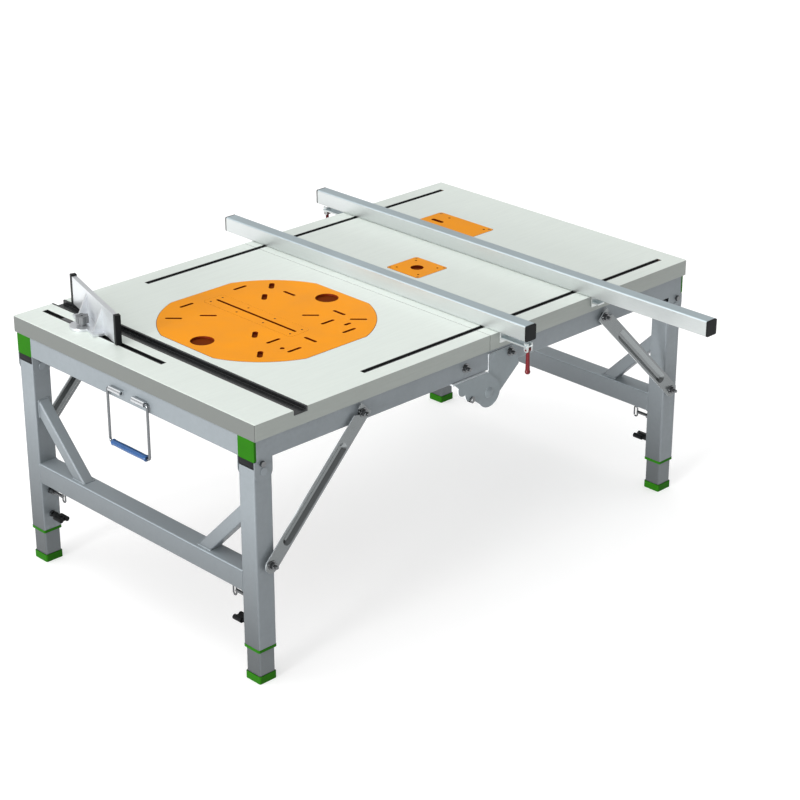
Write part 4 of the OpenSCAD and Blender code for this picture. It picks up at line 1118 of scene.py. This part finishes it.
def studio_air():
    """White walls of light: bright above, brighter on the left, dim near the horizon."""
    world = bpy.data.worlds.new("studio_air")
    world.use_nodes = True
    tree = world.node_tree
    air = tree.nodes["Background"]
    way = node(tree, "ShaderNodeTexCoord").outputs["Generated"]
    split = node(tree, "ShaderNodeSeparateXYZ", in_0=way)
    strength = 0.25
    for axis, far, power, gain in (("Z", 1.0, 1.0, 0.90), ("X", -1.0, 2.0, 0.35)):
        made = node(tree, "ShaderNodeMapRange", clamp=True, From_Max=far,
                    Value=split.outputs[axis])
        curve = sums(tree, "POWER", made.outputs["Result"], power)
        strength = sums(tree, "ADD", sums(tree, "MULTIPLY", curve, gain), strength)
    tree.links.new(strength, air.inputs["Strength"])
    air.inputs["Color"].default_value = (1.0, 1.0, 1.0, 1.0)
    return world


class BENCH_OT_stage(BuildOperator):
    """Lay the floor, set the lights and place the camera."""

    bl_idname = "bench.stage"
    bl_label = "Stage"

    def build(self, detail):
        """Build the stage."""
        scene = bpy.context.scene
        colours = scene.bench_colours
        work = bmesh.new()
        bmesh.ops.create_grid(work, x_segments=4, y_segments=4, size=14.0)
        mesh = bpy.data.meshes.new("studio_floor")
        work.to_mesh(mesh)
        work.free()
        floor = linked("studio_floor", mesh)
        paper = Finish("studio_paper", 0.75, 0.0)
        marks = node(paper.tree, "ShaderNodeTexNoise", Vector=paper.place, Scale=3.0)
        pale = tuple(colours.floor)
        paper.set("Base Color", paper.mix(marks.outputs["Fac"], shade(pale, 0.995), pale))
        paper.set("Emission Color", EVEN)
        paper.set("Emission Strength", 0.50)
        floor.data.materials.append(paper.material)
        scene.world = studio_air()
        # Name, kind, place in metres, power, and angle in radians or size in metres
        lights = (
            ("key", "SUN", (-3.0, 0.5, 3.1), 0.6, 1.4),
            ("low_fill", "SUN", (-3.0, -0.42, 0.27), 4.4, 0.30),
            ("overhead", "AREA", (-1.2, 1.4, 3.4), 20.0, 3.0),
        )
        for name, kind, place, power, size in lights:
            data = bpy.data.lights.new(name, kind)
            data.energy = power
            if kind == "SUN":
                data.angle = size
            else:
                data.shape = "SQUARE"
                data.size = size
            lamp = bpy.data.objects.new(name, data)
            scene.collection.objects.link(lamp)
            lamp.location = place
            lamp.rotation_euler = (-Vector(place)).to_track_quat("-Z", "Y").to_euler()
        lens = bpy.data.cameras.new("photo_camera")
        lens.lens = 97.18
        lens.sensor_width = 36.0
        lens.clip_end = 60.0
        camera = bpy.data.objects.new("photo_camera", lens)
        scene.collection.objects.link(camera)
        camera.location = at(-3287.0, -3505.9, 2465.8)
        look = Vector((0.6377, 0.6543, -0.4065))
        camera.rotation_euler = look.to_track_quat("-Z", "Y").to_euler()
        scene.camera = camera
        scene.view_settings.view_transform = "Standard"


STEPS = (
    BENCH_OT_finishes, BENCH_OT_boards, BENCH_OT_plates, BENCH_OT_frame_tubes, BENCH_OT_hinge,
    BENCH_OT_leg_frames, BENCH_OT_inner_legs, BENCH_OT_braces, BENCH_OT_locks,
    BENCH_OT_fasteners, BENCH_OT_fences, BENCH_OT_gauge, BENCH_OT_carry_handle,
    BENCH_OT_welds, BENCH_OT_stage)


class BENCH_PT_sidebar(bpy.types.Panel):
    """Lists the steps and the sizes of the bench's details."""

    bl_idname = "BENCH_PT_sidebar"
    bl_label = "Folding workbench"
    bl_space_type = "VIEW_3D"
    bl_region_type = "UI"
    bl_category = "Bench"

    def draw(self, context):
        """Draw the panel."""
        for holder in (context.scene.bench_detail, context.scene.bench_colours):
            box = self.layout.box()
            for name in holder.__annotations__:
                box.prop(holder, name)
        for step in STEPS:
            self.layout.operator(step.bl_idname)


CLASSES = (BenchDetail, BenchColours, *STEPS, BENCH_PT_sidebar)


def register():
    """Register the classes and hang the properties on the scene."""
    for each in CLASSES:
        bpy.utils.register_class(each)
    bpy.types.Scene.bench_detail = PointerProperty(type=BenchDetail)
    bpy.types.Scene.bench_colours = PointerProperty(type=BenchColours)


def unregister():
    """Take the properties and classes away again."""
    del bpy.types.Scene.bench_colours
    del bpy.types.Scene.bench_detail
    for each in reversed(CLASSES):
        bpy.utils.unregister_class(each)


def main():
    """Dress the bench in order."""
    register()
    for step in STEPS:
        area, name = step.bl_idname.split(".")
        getattr(getattr(bpy.ops, area), name)()


if __name__ == "__main__":
    main()
